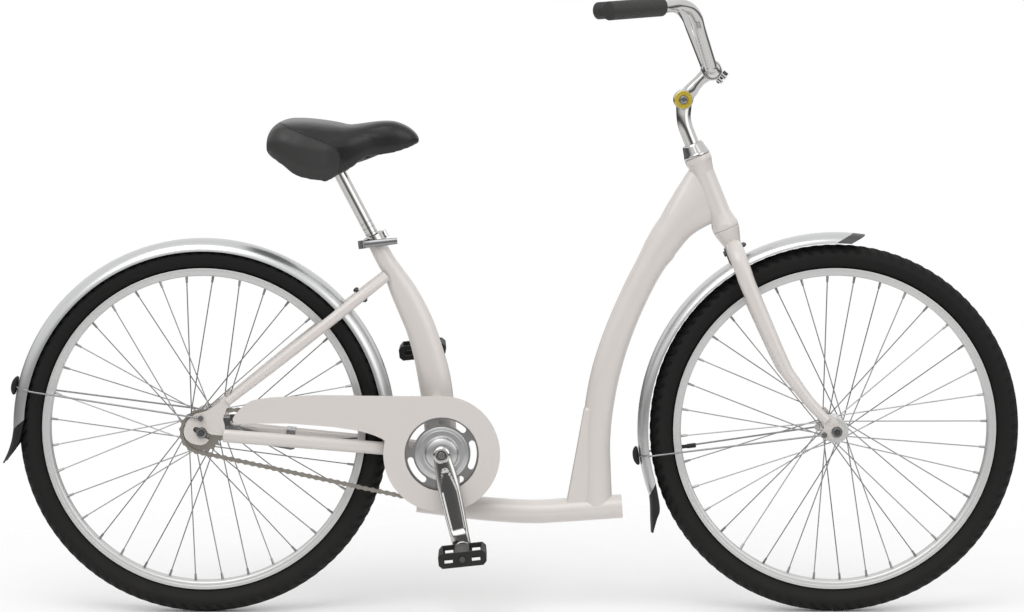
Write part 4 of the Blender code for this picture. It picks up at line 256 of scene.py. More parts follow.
def mesh_of(name, shapes):
    """One mesh from several shapes, its points counted on from shape to shape."""
    points = np.vstack([p for p, faces in shapes])
    starts = np.cumsum([0] + [len(p) for p, faces in shapes])
    corners = np.concatenate([np.fromiter(itertools.chain.from_iterable(faces), np.int32) + start
                              for (p, faces), start in zip(shapes, starts)])
    sizes = np.concatenate([np.fromiter(map(len, faces), np.int32) for p, faces in shapes])
    mesh = bpy.data.meshes.new(name)
    mesh.vertices.add(len(points))
    mesh.vertices.foreach_set("co", points.ravel())
    mesh.loops.add(len(corners))
    mesh.loops.foreach_set("vertex_index", corners.astype(np.int32))
    mesh.polygons.add(len(sizes))
    mesh.polygons.foreach_set("loop_start", (np.cumsum(sizes) - sizes).astype(np.int32))
    mesh.update(calc_edges=True)
    return mesh


def settle(mesh, sharp=38.0, facing=True):
    """Welds doubles, turns faces outward, and keeps edges sharp past an angle."""
    work = bmesh.new()
    work.from_mesh(mesh)
    bmesh.ops.remove_doubles(work, verts=work.verts[:], dist=WELD)
    bmesh.ops.dissolve_degenerate(work, dist=1e-7, edges=work.edges[:])
    if facing:
        bmesh.ops.recalc_face_normals(work, faces=work.faces[:])
    work.to_mesh(mesh)
    work.free()
    mesh.shade_smooth()
    mesh.set_sharp_from_angle(angle=math.radians(sharp))


def piece(name, shapes, body, look, nodes, bevel=0.0, sharp=38.0):
    """A finished piece: it rides on a body, may stand for CAD nodes, and takes the finish it is given."""
    mesh = mesh_of(name, shapes)
    settle(mesh, sharp)
    return dressed(name, mesh, body, look, nodes, bevel)


def dressed(name, mesh, body, look, nodes, bevel=0.0):
    """A mesh as a piece on its body, with its material; the CAD nodes it stands for are hidden."""
    obj = bpy.data.objects.new(name, mesh)
    bpy.context.scene.collection.objects.link(obj)
    obj.data.materials.append(look)
    if bevel:
        modifier = obj.modifiers.new("edges", "BEVEL")
        modifier.width = bevel
        modifier.segments = 2
        modifier.limit_method = "ANGLE"
        modifier.angle_limit = math.radians(BEVEL_ANGLE)
        modifier.harden_normals = False
    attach(obj, body)
    if nodes:
        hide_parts(*nodes)
    return obj


def refined(node, body, look, bevel):
    """A small CAD solid's own shape with its flats shaded round and its edges eased, in place of the solid."""
    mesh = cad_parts[node].data.copy()
    mesh.name = node + "_refined"
    mesh.materials.clear()
    work = bmesh.new()
    work.from_mesh(mesh)
    bmesh.ops.remove_doubles(work, verts=work.verts[:], dist=REFINED_WELD)
    bmesh.ops.dissolve_limit(work, angle_limit=0.01, verts=work.verts[:], edges=work.edges[:])
    work.to_mesh(mesh)
    work.free()
    settle(mesh, REFINED_SHARP, facing=False)
    dressed(node + "_refined", mesh, body, look, (node,), bevel)


# Effects shared by the finishes

def group(name, inputs, outputs):
    """A node group with named number inputs and outputs."""
    tree = bpy.data.node_groups.new(name, "ShaderNodeTree")
    for label, value in inputs:
        socket = tree.interface.new_socket(label, in_out="INPUT", socket_type="NodeSocketFloat")
        socket.default_value = value
    for label in outputs:
        tree.interface.new_socket(label, in_out="OUTPUT", socket_type="NodeSocketFloat")
    return tree, tree.nodes.new("NodeGroupInput"), tree.nodes.new("NodeGroupOutput")


def feed(tree, node, values):
    """Sets a node's inputs, each to a value or by a link from a socket."""
    for label, value in values.items():
        if isinstance(value, bpy.types.NodeSocket):
            tree.links.new(value, node.inputs[label])
        else:
            node.inputs[label].default_value = value


def add_node(tree, kind, values=None, **settings):
    """A new shader node with its settings and its inputs."""
    node = tree.nodes.new("ShaderNode" + kind)
    for setting, value in settings.items():
        setattr(node, setting, value)
    feed(tree, node, values or {})
    return node


def math_node(tree, operation, a, b):
    """The result of a Math node fed by sockets or numbers."""
    return add_node(tree, "Math", {0: a, 1: b}, operation=operation).outputs[0]


def grain_group():
    """Grain: fine noise as a height, and broad noise as a mask that varies colour and roughness."""
    tree, inner, outer = group("bicycle_grain", (("Fine scale", 600.0), ("Broad scale", 9.0)), ("Height", "Mask"))
    place = add_node(tree, "TexCoord").outputs["Object"]
    for label, socket, detail in (("Height", "Fine scale", 3.0), ("Mask", "Broad scale", 5.0)):
        noise = add_node(tree, "TexNoise", {"Detail": detail, "Vector": place, "Scale": inner.outputs[socket]})
        feed(tree, outer, {label: noise.outputs["Fac"]})


def dust_group():
    """Dust, more near the ground and broken up by noise: mask = amount noise (1 - height / reach), 0 at least."""
    tree, inner, outer = group("bicycle_dust", (("Reach", 0.35), ("Amount", 0.5)), ("Mask",))
    place = add_node(tree, "TexCoord").outputs["Object"]
    height = add_node(tree, "SeparateXYZ", {0: place}).outputs["Z"]
    noise = add_node(tree, "TexNoise", {"Scale": 26.0, "Detail": 6.0, "Vector": place}).outputs["Fac"]
    low = math_node(tree, "SUBTRACT", 1.0, math_node(tree, "DIVIDE", height, inner.outputs["Reach"]))
    mask = math_node(tree, "MULTIPLY", math_node(tree, "MAXIMUM", low, 0.0), noise)
    feed(tree, outer, {"Mask": math_node(tree, "MULTIPLY", mask, inner.outputs["Amount"])})


DUST = (0.36, 0.33, 0.29, 1.0)
COAT_ROUGHNESS = 0.06


def finish(name, color, shade, rough, metallic=0.0, fine=600.0, broad=9.0, bump=0.02, depth=0.0002, coat=0.0,
           dust=0.0, specular=0.5):
    """A finish whose colour and roughness vary over the surface, with fine grain as bump and a little dust."""
    material = bpy.data.materials.new(name)
    material.diffuse_color = (*color, 1.0)
    material.use_nodes = True
    tree = material.node_tree
    grain = add_node(tree, "Group", {"Fine scale": fine, "Broad scale": broad},
                     node_tree=bpy.data.node_groups["bicycle_grain"])
    mix = add_node(tree, "Mix", {"A": (*color, 1.0), "B": (*shade, 1.0), "Factor": grain.outputs["Mask"]},
                   data_type="RGBA")
    if dust:
        dusty = add_node(tree, "Group", {"Amount": dust}, node_tree=bpy.data.node_groups["bicycle_dust"])
        mix = add_node(tree, "Mix", {"A": mix.outputs["Result"], "B": DUST, "Factor": dusty.outputs["Mask"]},
                       data_type="RGBA")
    spread = add_node(tree, "MapRange", {"To Min": rough[0], "To Max": rough[1], "Value": grain.outputs["Mask"]})
    relief = add_node(tree, "Bump", {"Strength": bump, "Distance": depth, "Height": grain.outputs["Height"]})
    feed(tree, tree.nodes["Principled BSDF"], {
        "Metallic": metallic, "Specular IOR Level": specular, "Coat Weight": coat,
        "Coat Roughness": COAT_ROUGHNESS, "Base Color": mix.outputs["Result"],
        "Roughness": spread.outputs["Result"], "Normal": relief.outputs["Normal"]})
    return material


FINISHES = {}


def finishes():
    """Every finish of the bicycle, made once."""
    if FINISHES:
        return FINISHES
    grain_group()
    dust_group()
    chosen = bpy.context.scene.bicycle_colours
    pearl = tuple(chosen.frame_colour)
    silver = tuple(chosen.mudguard_colour)
    FINISHES["pearl"] = finish("pearl_finish", pearl, tuple(c * 0.965 for c in pearl), rough=(0.28, 0.34),
                               fine=1500.0, bump=0.02, coat=0.6, dust=0.10)
    FINISHES["silver"] = finish("silver_finish", silver, tuple(c * 0.93 for c in silver), metallic=0.85,
                                rough=(0.24, 0.32), fine=1800.0, bump=0.015, coat=0.2, dust=0.06)
    FINISHES["chrome"] = finish("polished_chrome", (0.58, 0.572, 0.56), (0.52, 0.513, 0.50), metallic=1.0,
                                rough=(0.09, 0.13), fine=300.0, bump=0.001, depth=0.00005)
    FINISHES["cast"] = finish("cast_alloy", (0.60, 0.60, 0.60), (0.52, 0.52, 0.52), metallic=0.95,
                              rough=(0.24, 0.34), fine=700.0, bump=0.01)
    FINISHES["ring"] = finish("ring_steel", (0.36, 0.355, 0.35), (0.28, 0.275, 0.27), metallic=0.9,
                              rough=(0.26, 0.36), fine=700.0, bump=0.01)
    FINISHES["alloy"] = finish("satin_alloy", (0.66, 0.66, 0.655), (0.60, 0.60, 0.595), metallic=0.65,
                               rough=(0.36, 0.46), fine=900.0, bump=0.03, dust=0.06)
    FINISHES["spoke"] = finish("spoke_steel", (0.30, 0.30, 0.305), (0.25, 0.25, 0.255), metallic=1.0,
                               rough=(0.22, 0.30), bump=0.01)
    FINISHES["dark"] = finish("dark_finish", (0.075, 0.075, 0.08), (0.10, 0.098, 0.095), metallic=0.7,
                              rough=(0.34, 0.46), bump=0.03, dust=0.1)
    FINISHES["chain"] = finish("chain_steel", (0.40, 0.375, 0.335), (0.27, 0.25, 0.22), metallic=0.85,
                               rough=(0.30, 0.46), broad=60.0, bump=0.02)
    FINISHES["tyre"] = finish("tyre_finish", (0.0065, 0.0062, 0.0062), (0.011, 0.0105, 0.010), rough=(0.62, 0.78),
                              fine=1400.0, bump=0.12, dust=0.02, specular=0.22)
    FINISHES["plastic"] = finish("moulded_plastic", (0.0105, 0.0105, 0.0105), (0.015, 0.0148, 0.0145),
                                 rough=(0.42, 0.55), fine=2200.0, bump=0.10, dust=0.05, specular=0.28)
    FINISHES["grip"] = finish("soft_grip", (0.026, 0.025, 0.024), (0.019, 0.018, 0.0175), rough=(0.52, 0.66),
                              fine=1800.0, bump=0.15)
    FINISHES["saddle"] = finish("saddle_vinyl", (0.0095, 0.0095, 0.010), (0.014, 0.0135, 0.0135), rough=(0.24, 0.34),
                                fine=1300.0, bump=0.16, depth=0.0003, specular=0.42)
    FINISHES["yellow"] = finish("yellow_finish", (0.56, 0.43, 0.03), (0.50, 0.37, 0.025), rough=(0.28, 0.36))
    return FINISHES


# Wheels, worked out round a hub at the origin

TREAD_BLOCKS = 96
TYRE_STEPS = 960
TYRE_HALF_WIDTH = 0.0235
TYRE_MIDDLE_R = RIM_R + 0.0185
TYRE_INNER_RISE = 0.0245
TYRE_WRAP = 142                     # how far the section goes round to each side, in degrees
RIM_BED_R = 0.2715
SPOKES_PER_FLANGE = 18
SPOKE_STEP = 360.0 / SPOKES_PER_FLANGE
SPOKE_CROSS = 60.0
SPOKE_END_R = 0.0019


def tyre_surface():
    """The tyre: a round section whose tread has a centre rib and slanted blocks.

    The section is half width times sin(b) across and a radius that rises from the rim to the crown with cos(b).
    A slanted groove is where sin(96 a + 8 |y| / half width) is high. It sinks along the section's normal, deepest
    at the shoulders, where the blocks end. Two more grooves run round the tyre.
    """
    around = np.linspace(0, 2 * np.pi, TYRE_STEPS, endpoint=False)[:, None]
    b = np.linspace(-1, 1, 33)[None, :]
    turn = b * np.radians(TYRE_WRAP)
    inward = np.where(np.abs(turn) > np.pi / 2, 1 - 0.42 * (np.abs(turn) - np.pi / 2), 1.0)
    y = TYRE_HALF_WIDTH * np.sin(turn) * inward
    rise = np.where(np.abs(turn) < np.pi / 2, TYRE_R - TYRE_MIDDLE_R, TYRE_INNER_RISE)
    radius = TYRE_MIDDLE_R + rise * np.cos(turn)
    side = np.clip(np.abs(y) / TYRE_HALF_WIDTH, 0, 1)
    wave = np.sin(TREAD_BLOCKS * around + 8.0 * side)
    slant = np.clip((wave - 0.30) * 5, 0, 1) * smooth_step(-np.abs(turn), -1.20, -1.06)
    slant = slant * (0.45 + 0.55 * smooth_step(side, 0.10, 0.26) + 0.5 * smooth_step(side, 0.5, 0.8))
    rib = np.clip(1 - np.abs(side - 0.19) / 0.05, 0, 1) * (np.abs(turn) < 1.0)
    shoulder = np.clip(1 - np.abs(side - 0.62) / 0.05, 0, 1) * (np.abs(turn) < 1.0)
    depth = bpy.context.scene.bicycle_sizes.tread_depth * np.maximum(np.maximum(slant, rib), shoulder)
    radius = radius - depth * np.cos(turn)
    y = np.broadcast_to(y, radius.shape) - depth * np.sin(turn)
    points = np.stack([radius * np.cos(around), y, radius * np.sin(around)], -1)
    count = points.shape[1]
    return points.reshape(-1, 3), grid_faces(TYRE_STEPS, count, True, True)


def rim_surface():
    """The rim's box section with rounded corners and machined brake bands, turned about the hub."""
    half = [(RIM_R, 0.015), (0.2800, 0.0148), (0.2795, 0.0142), (0.2745, 0.0140), (0.2717, 0.0118), (0.2712, 0.004)]
    profile = half + [(r, -y) for r, y in reversed(half)]
    profile += [(RIM_R, -0.013), (0.277, -0.010), (0.277, 0.010), (RIM_R, 0.013)]
    return spun(rounded(profile, 0.0008, 3), 192)


def valve(angle):
    """The valve stem and its cap, pointing to the hub."""
    stations = ((0.272, 0.0034), (0.262, 0.0034), (0.2615, 0.0042), (0.247, 0.0042), (0.246, 0.0030))
    shapes = []
    for (r0, w0), (r1, w1) in zip(stations, stations[1:]):
        x0, z0 = polar(r0, angle)
        x1, z1 = polar(r1, angle)
        shapes.append(carried([(x0, 0, z0, w0, w0), (x1, 0, z1, w1, w1)], 16))
    return shapes


def spoke_set(flange_y, hole_r, angle):
    """Eighteen spokes of one flange, each a slim bar from its hole to the rim, with its head and its nipple."""
    shapes = []
    for index in range(SPOKES_PER_FLANGE):
        hole = angle + index * SPOKE_STEP
        side = 1 if index % 2 == 0 else -1
        x0, z0 = polar(hole_r, hole)
        x1, z1 = polar(RIM_BED_R, hole + side * SPOKE_CROSS)
        start = np.array((x0, flange_y + side * 0.0016, z0))
        stop = np.array((x1, math.copysign(0.0025, flange_y), z1))
        near = stop + (start - stop) * 0.045
        shapes.append(bar(start, stop, bpy.context.scene.bicycle_sizes.spoke_radius, 8))
        shapes.append(bar(near, stop, SPOKE_END_R, 8, 0.0024))
        shapes.append(bar(start - (0, side * 0.0012, 0), start + (0, side * 0.0008, 0), SPOKE_END_R, 8))
    return shapes


def wheel(prefix, hub, body, profile, flanges, hole_r, spoke_angle, valve_angle):
    """A wheel's tyre, rim, hub and spokes round its hub."""
    made = finishes()
    piece(prefix + "_tyre_dressed", [set_at(tyre_surface(), hub)], body, made["tyre"],
          (prefix + "_tyre",), sharp=60)
    piece(prefix + "_rim_dressed", [set_at(rim_surface(), hub)], body, made["alloy"], (prefix + "_rim",))
    piece(prefix + "_valve", [set_at(s, hub) for s in valve(valve_angle)], body, made["plastic"],
          (prefix + "_inner_tube",))
    piece(prefix + "_hub_shell", [set_at(spun(rounded(profile, 0.0012), 64), hub)], body, made["alloy"],
          (prefix + "_hub_and_spokes",))
    spokes = []
    for index, y in enumerate(flanges):
        spokes += spoke_set(y, hole_r, spoke_angle + (SPOKE_STEP / 2 if index == 0 else 0.0))
    piece(prefix + "_spokes", [set_at(s, hub) for s in spokes], body, made["spoke"], ())


def front_wheel():
    """The front wheel on its slim hub."""
    half = [(0.0084, 0.040), (0.012, 0.040), (0.012, 0.036), (0.0225, 0.036), (0.0225, 0.031), (0.013, 0.028)]
    half += [(0.0115, 0.016)]
    profile = half + [(r, -y) for r, y in reversed(half)]
    wheel("front", FRONT_HUB, "front_wheel", profile, (0.0335, -0.0335), 0.019, 2.8, 187.0)


def rear_wheel():
    """The rear wheel on its wide brake hub."""
    profile = [(0.0094, 0.043), (0.024, 0.043), (0.024, 0.037), (0.0315, 0.037), (0.0315, 0.031), (0.021, 0.028)]
    profile += [(0.0195, 0.002), (0.021, -0.024), (0.0315, -0.027), (0.0315, -0.033), (0.017, -0.033)]
    profile += [(0.017, -0.036), (0.0094, -0.036)]
    wheel("rear", REAR_HUB, "rear_wheel", profile, (0.034, -0.030), 0.028, 6.3, -5.0)


# Mudguards

TIP_LEAN = 5.2
TIP_END_LEAN = 4.1
FLAP_LEAN = 3.4
LEAN_REACH = 20                     # how far from an end its rows lean, in degrees
GUARD_HALF_WIDTH = 0.0285
GUARD_WALL = 0.0016
TIP_WALL = 0.0018
ROW_TURNS = np.radians(np.linspace(-90, 90, 25))
STAY_R = 0.0016
STAY_LIFT = 0.0026


def guard_rows(crown_r, edge_r, angles, leans):
    """Rows across a mudguard: (edge r + rise cos b, half width sin b) with b from -90 to 90 degrees.

    A row's angle is a + lean (1 - cos b), so that an end whose rows lean is cut aslant.
    """
    b = ROW_TURNS[None, :]
    a = np.radians(angles)[:, None] + np.radians(leans)[:, None] * (1 - np.cos(b))
    radius = edge_r + (crown_r - edge_r) * np.cos(b)
    y = np.broadcast_to(GUARD_HALF_WIDTH * np.sin(b), a.shape)
    return np.stack([radius * np.cos(a), y, radius * np.sin(a)], -1)


def walled(rows, wall):
    """A sheet given a wall toward its inner side: each point moves back along the mean normal of its faces."""
    dv = np.gradient(rows, axis=0)
    du = np.gradient(rows, axis=1)
    normal = np.cross(du, dv)
    normal /= np.linalg.norm(normal, axis=-1)[..., None] + 1e-12
    middle = rows[:, rows.shape[1] // 2]
    inward = rows[:, 0] + rows[:, -1] - 2 * middle
    sign = np.where((normal[:, rows.shape[1] // 2] * inward).sum(-1) > 0, 1.0, -1.0)
    inner = rows + normal * sign[:, None, None] * wall
    r, c = rows.shape[:2]
    loop = np.concatenate([rows, inner[:, ::-1]], axis=1)
    points = loop.reshape(-1, 3)
    faces = grid_faces(r, 2 * c)
    for row in (0, r - 1):
        base = row * 2 * c
        faces += [[base + i, base + i + 1, base + 2 * c - 2 - i, base + 2 * c - 1 - i] for i in range(c - 1)]
    return points, faces


def flap_rows(crown_r, edge_r, angle, drops):
    """A flap's rows: the mudguard's end row, then shallower rows below it, smoothed from row to row."""
    b = ROW_TURNS
    x0, z0 = polar(crown_r, angle)
    rows = [guard_rows(crown_r, edge_r, np.array([angle]), np.array([-FLAP_LEAN]))[0]]
    for x, z, half, deep in drops:
        rows.append(np.stack([x0 + x + deep * (1 - np.cos(b)), half * np.sin(b), np.full_like(b, z0 + z)], -1))
    rows = np.array(rows)
    count = rows.shape[1]
    return flowing(rows.reshape(len(rows), -1), 5).reshape(-1, count, 3)


def stay_path(eyelet, eyelet_y, crown_r, edge_r, angle):
    """A stay's path: from its eyelet along the wheel, over the mudguard's crown and back, as (x, y, z) knots."""
    half = []
    for step in (0, 22, 45, 67, 90):
        turn = math.radians(step)
        radius = edge_r + (crown_r - edge_r + STAY_LIFT) * math.cos(turn)
        x, z = polar(radius, angle)
        half.append((x, (GUARD_HALF_WIDTH + STAY_LIFT + 0.001) * math.sin(turn), z))
    x, z = polar(edge_r - 0.012, angle)
    near = np.array((x, GUARD_HALF_WIDTH + STAY_LIFT + 0.0035, z))
    far = np.array((eyelet[0], eyelet_y + 0.0045, eyelet[1]))
    half += [tuple(near + (far - near) * share) for share in (0, 0.3, 0.7, 0.97)] + [tuple(far)]
    return [(x, -y, z) for x, y, z in reversed(half)] + half[1:]


def stay_bolts(eyelet, eyelet_y):
    """The two small bolts at a stay's eyelets."""
    shapes = []
    for side in (-1, 1):
        x, z = eyelet
        shapes.append(bar((x, side * (eyelet_y + 0.0003), z), (x, side * (eyelet_y + 0.0080), z), 0.0052, 6))
        shapes.append(bar((x, side * (eyelet_y - 0.004), z), (x, side * (eyelet_y + 0.0088), z), 0.0030, 16))
    return shapes


def mudguard(prefix, hub, body, crown_r, edge_r, angles, tip_angles, cap_angle, drops, eyelet, eyelet_y):
    """A mudguard with its flap, stay, cap and, in front, its dark tip."""
    made = finishes()
    start, stop = angles
    turns = np.linspace(start, stop, int((stop - start) / 1.5))
    leans = (TIP_LEAN if tip_angles else 0) * np.clip(1 - (turns - start) / LEAN_REACH, 0, 1)
    leans = leans - FLAP_LEAN * np.clip(1 - (stop - turns) / LEAN_REACH, 0, 1)
    shell = walled(guard_rows(crown_r, edge_r, turns, leans), GUARD_WALL)
    piece(prefix + "_mudguard", [set_at(shell, hub)], body, made["silver"], (prefix + "_fender",),
          sharp=50)
    if tip_angles:
        leans = np.linspace(TIP_END_LEAN, TIP_LEAN, 12)
        tip = walled(guard_rows(crown_r, edge_r, np.linspace(*tip_angles, 12), leans), TIP_WALL)
        piece(prefix + "_mudguard_tip", [set_at(tip, hub)], body, made["dark"], (prefix + "_fender_tip",),
              sharp=50)
    flap = walled(flap_rows(crown_r, edge_r, stop + 0.06, drops), TIP_WALL)
    piece(prefix + "_flap", [set_at(flap, hub)], body, made["plastic"], (prefix + "_mud_flap",),
          sharp=50)
    rod = wire(stay_path(eyelet, eyelet_y, crown_r, edge_r, cap_angle), STAY_R, 12, 4, (0.3, 0, 0.95))
    shapes = [rod] + stay_bolts(eyelet, eyelet_y)
    piece(prefix + "_stay", [set_at(s, hub) for s in shapes], body, made["spoke"], (prefix + "_fender_stay",))
    dome = [(-0.0158, 0.0020, 0.0045), (-0.0135, 0.0036, 0.0075), (-0.0075, 0.0052, 0.0085), (0, 0.0057, 0.0088)]
    dome += [(-z, deep, wide) for z, deep, wide in reversed(dome[:-1])]
    cap = carried(flowing([(deep, 0, z, deep, wide) for z, deep, wide in dome], 3), 32, power=2.6)
    cap = set_at(cap, turned_up(cap_angle) @ Matrix.Translation((crown_r + 0.0003, 0, 0)))
    piece(prefix + "_stay_clip", [set_at(cap, hub)], body, made["plastic"], (prefix + "_stay_cap",),
          bevel=0.0006)


def mudguards():
    """Both mudguards; the rear one has a rubber block at each bridge and the front one a bracket at the crown."""
    made = finishes()
    rear_drops = ((-0.003, -0.018, 0.0275, 0.0165), (-0.009, -0.038, 0.0250, 0.0100),
                  (-0.018, -0.058, 0.0220, 0.0030))
    mudguard("rear", REAR_HUB, "frame", 0.338, 0.316, (-6.0, 180.0), None, 167.0, rear_drops,
             (-0.001, 0.0258), 0.0603)
    front_drops = ((0.0015, -0.020, 0.0275, 0.0165), (0.0020, -0.040, 0.0255, 0.0110),
                   (0.0032, -0.0645, 0.0220, 0.0030))
    eyelet = turned_up(STEER_ANGLE) @ Vector((-0.0225, 0, 0.0042))
    mudguard("front", FRONT_HUB, "steering", 0.348, 0.330, (85.0, 200.0), (81.4, 84.95), 187.9, front_drops,
             (eyelet.x, eyelet.z), 0.0553)
    blocks = [set_at(block((0.3350, -0.009, -0.004), (0.3535, 0.009, 0.004)), turned_up(40.5)),
              block((0.3345, -0.009, -0.038), (0.345, 0.009, -0.033))]
    piece("rear_mudguard_blocks", [set_at(s, REAR_HUB) for s in blocks], "frame", made["plastic"], (),
          bevel=0.001)
    bracket = [block((-0.0171, -0.008, 0.3380), (-0.0151, 0.008, 0.369)),
               bar((-0.0166, 0, 0.360), (-0.0205, 0, 0.360), 0.0050, 24)]
    bracket.append(bar((0.0145, 0, 0.3630), (0.0205, 0, 0.3630), 0.0048, 6))
    bracket.append(bar((0.0205, 0, 0.3630), (0.0225, 0, 0.3630), 0.0026, 16))
    piece("front_mudguard_bracket", [set_at(s, STEERING) for s in bracket], "steering", made["dark"], (),
          bevel=0.0005)
    low, high = np.array((-0.2564, 0, 0.5536)), np.array((-0.2750, 0, 0.5748))
    way = (high - low) / np.linalg.norm(high - low)
    bolt = [bar(low - way * 0.002, high + way * 0.001, 0.0030, 16), bar(low, low + way * 0.0045, 0.0056, 6),
            bar(high - way * 0.0045, high, 0.0056, 6)]
    piece("rear_bridge_bolt", bolt, "frame", made["dark"], (), bevel=0.0004)


# Chain drive

PITCH = 0.0127
LINKS = 98
RING_TEETH = 44
SPROCKET_TEETH = 18
SPROCKET_STEP = 360.0 / SPROCKET_TEETH
RING_R = PITCH / (2 * math.sin(math.pi / RING_TEETH))
SPROCKET_R = PITCH / (2 * math.sin(math.pi / SPROCKET_TEETH))
LINK_END_R = 0.0042
VALLEY_R = 0.0042
PLATE_HALF = 0.0012
CHAIN_LINE = -0.047
TO_AXLE = REAR_HUB - BRACKET
SPACING = math.hypot(TO_AXLE[0], TO_AXLE[2])
RUN_ANGLE = math.degrees(math.atan2(-TO_AXLE[2], -TO_AXLE[0]))
LEAN = math.degrees(math.asin((RING_R - SPROCKET_R) / SPACING))
RING_TOP = RUN_ANGLE + 90 + LEAN
RING_SWEEP = 180 + 2 * LEAN
PINS_ON_RING = RING_TEETH * RING_SWEEP / 360
PINS_STRAIGHT = SPACING * math.cos(math.radians(LEAN)) / PITCH
PINS_ON_SPROCKET = SPROCKET_TEETH * (360 - RING_SWEEP) / 360


def pins():
    """The chain's pins from the crank's axis as (x, z), one pitch apart, clockwise from the ring's top."""
    axle = np.array((TO_AXLE[0], TO_AXLE[2]))
    places = []
    for pin in range(LINKS):
        after_ring = pin - PINS_ON_RING
        low = after_ring < PINS_STRAIGHT
        if after_ring < 0:
            places.append(polar(RING_R, RING_TOP - pin * 360 / RING_TEETH))
        elif not low and after_ring < PINS_STRAIGHT + PINS_ON_SPROCKET:
            x, z = polar(SPROCKET_R, RING_TOP - RING_SWEEP - (after_ring - PINS_STRAIGHT) * SPROCKET_STEP)
            places.append((x + axle[0], z + axle[1]))
        else:
            angle = RING_TOP - RING_SWEEP if low else RING_TOP
            ring, sprocket = np.array(polar(RING_R, angle)), np.array(polar(SPROCKET_R, angle)) + axle
            near, far = (ring, sprocket) if low else (sprocket, ring)
            share = (after_ring - (0 if low else PINS_STRAIGHT + PINS_ON_SPROCKET)) / PINS_STRAIGHT
            places.append(tuple(near + (far - near) * share))
    return places


def link_outline():
    """A chain plate's waisted outline round two pins a pitch apart, the first at the origin."""
    ends = arc(PITCH, 0, LINK_END_R, -75, 75, 6).tolist() + [(PITCH / 2, 0.0024)]
    ends += arc(0, 0, LINK_END_R, 105, 255, 6).tolist() + [(PITCH / 2, -0.0024)]
    return ends


def chain_links():
    """Every link of the chain: plates in turn outside and inside, rollers and pin heads."""
    places = pins()
    shapes = []
    outline = link_outline()
    for index, (x, z) in enumerate(places):
        nx, nz = places[(index + 1) % LINKS]
        angle = math.degrees(math.atan2(nz - z, nx - x))
        place = Matrix.Translation((x, CHAIN_LINE, z)) @ turned_up(angle)
        inner, outer = (0.0018, 0.0028) if index % 2 == 0 else (0.0030, 0.0040)
        for side in (-1, 1):
            shapes.append(set_at(sheet_metal([outline], side * inner, side * outer), place))
        shapes.append(set_at(bar((0, -0.0017, 0), (0, 0.0017, 0), 0.0039, 12), place))
        shapes.append(set_at(bar((0, -0.0043, 0), (0, 0.0043, 0), 0.0018, 8), place))
    return [set_at(s, BRACKET) for s in shapes]


def tooth_edge(teeth, pitch_r, first):
    """A toothed edge: a round valley of the roller's radius under each pin and a rounded tip between."""
    outline = []
    step = 360.0 / teeth
    for index in range(teeth):
        valley = first + index * step
        vx, vz = polar(pitch_r, valley)
        outline += arc(vx, vz, VALLEY_R, valley + 250, valley + 110, 6).tolist()
        outline += [polar(pitch_r + 0.0024, valley + step * 0.44), polar(pitch_r + 0.0030, valley + step * 0.5)]
        outline += [polar(pitch_r + 0.0024, valley + step * 0.56)]
    return outline


def ring_slot(inner_r, outer_r, middle, width):
    """A curved slot with round ends."""
    start, stop = middle - width / 2, middle + width / 2
    mid_r = (inner_r + outer_r) / 2
    half = (outer_r - inner_r) / 2
    ex, ez = polar(mid_r, stop)
    sx, sz = polar(mid_r, start)
    outline = arc(0, 0, outer_r, start, stop, 10).tolist()
    outline += arc(ex, ez, half, stop, stop + 180, 8).tolist()[1:-1]
    outline += arc(0, 0, inner_r, stop, start, 10).tolist()
    outline += arc(sx, sz, half, start + 180, start + 360, 8).tolist()[1:-1]
    return outline


def drive():
    """The chainring, the sprocket and the chain."""
    made = finishes()
    outlines = [tooth_edge(RING_TEETH, RING_R, RING_TOP), arc(0, 0, 0.0205, 0, 352.5, 47).tolist()]
    outlines += [ring_slot(0.0505, 0.0615, -2.7 + 72 * index, 42.0) for index in range(5)]
    ring = set_at(sheet_metal(outlines, CHAIN_LINE - PLATE_HALF, CHAIN_LINE + PLATE_HALF), BRACKET)
    piece("chainring_dressed", [ring], "crank", made["ring"], ("chainring",), bevel=0.0003)
    first = RUN_ANGLE - 90 - LEAN + (PINS_ON_RING + PINS_STRAIGHT) * SPROCKET_STEP
    disc = sheet_metal([tooth_edge(SPROCKET_TEETH, SPROCKET_R, first), arc(0, 0, 0.0125, 0, 350, 35).tolist()],
                       CHAIN_LINE - PLATE_HALF, CHAIN_LINE + PLATE_HALF)
    driver = spun(rounded([(0.0126, -0.052), (0.014, -0.0505), (0.014, -0.0364), (0.0053, -0.0364),
                           (0.0053, -0.052)], 0.0006), 48)
    piece("sprocket_dressed", [set_at(disc, REAR_HUB), set_at(driver, REAR_HUB)], "sprocket", made["chain"],
          ("rear_sprocket",), bevel=0.0003)
    # The chain rides on the frame: its path stays where it is while the crank turns
    piece("chain_dressed", chain_links(), "frame", made["chain"], ("chain",))


# Cranks

ARM_STATIONS = ((0.0, -0.0670, -0.004, 0.0150, 0.0070), (0.0, -0.0690, -0.030, 0.0178, 0.0070),
                (0.0, -0.0713, -0.058, 0.0193, 0.0070), (0.0, -0.0750, -0.100, 0.0186, 0.0067),
                (0.0, -0.0790, -0.140, 0.0168, 0.0062), (0.0, -0.0812, -0.170, 0.0160, 0.0058))
CRANK_LENGTH = 0.170
CRANK_TURN = math.radians(12.7)
POCKET_TOP = 0.022
POCKET_ARCH = 0.042
POCKET_DEPTH = 0.0030


def smooth_step(value, low, high):
    """0 below low, 1 above high and t t (3 - 2 t) between."""
    t = np.clip((value - low) / (high - low), 0, 1)
    return t * t * (3 - 2 * t)


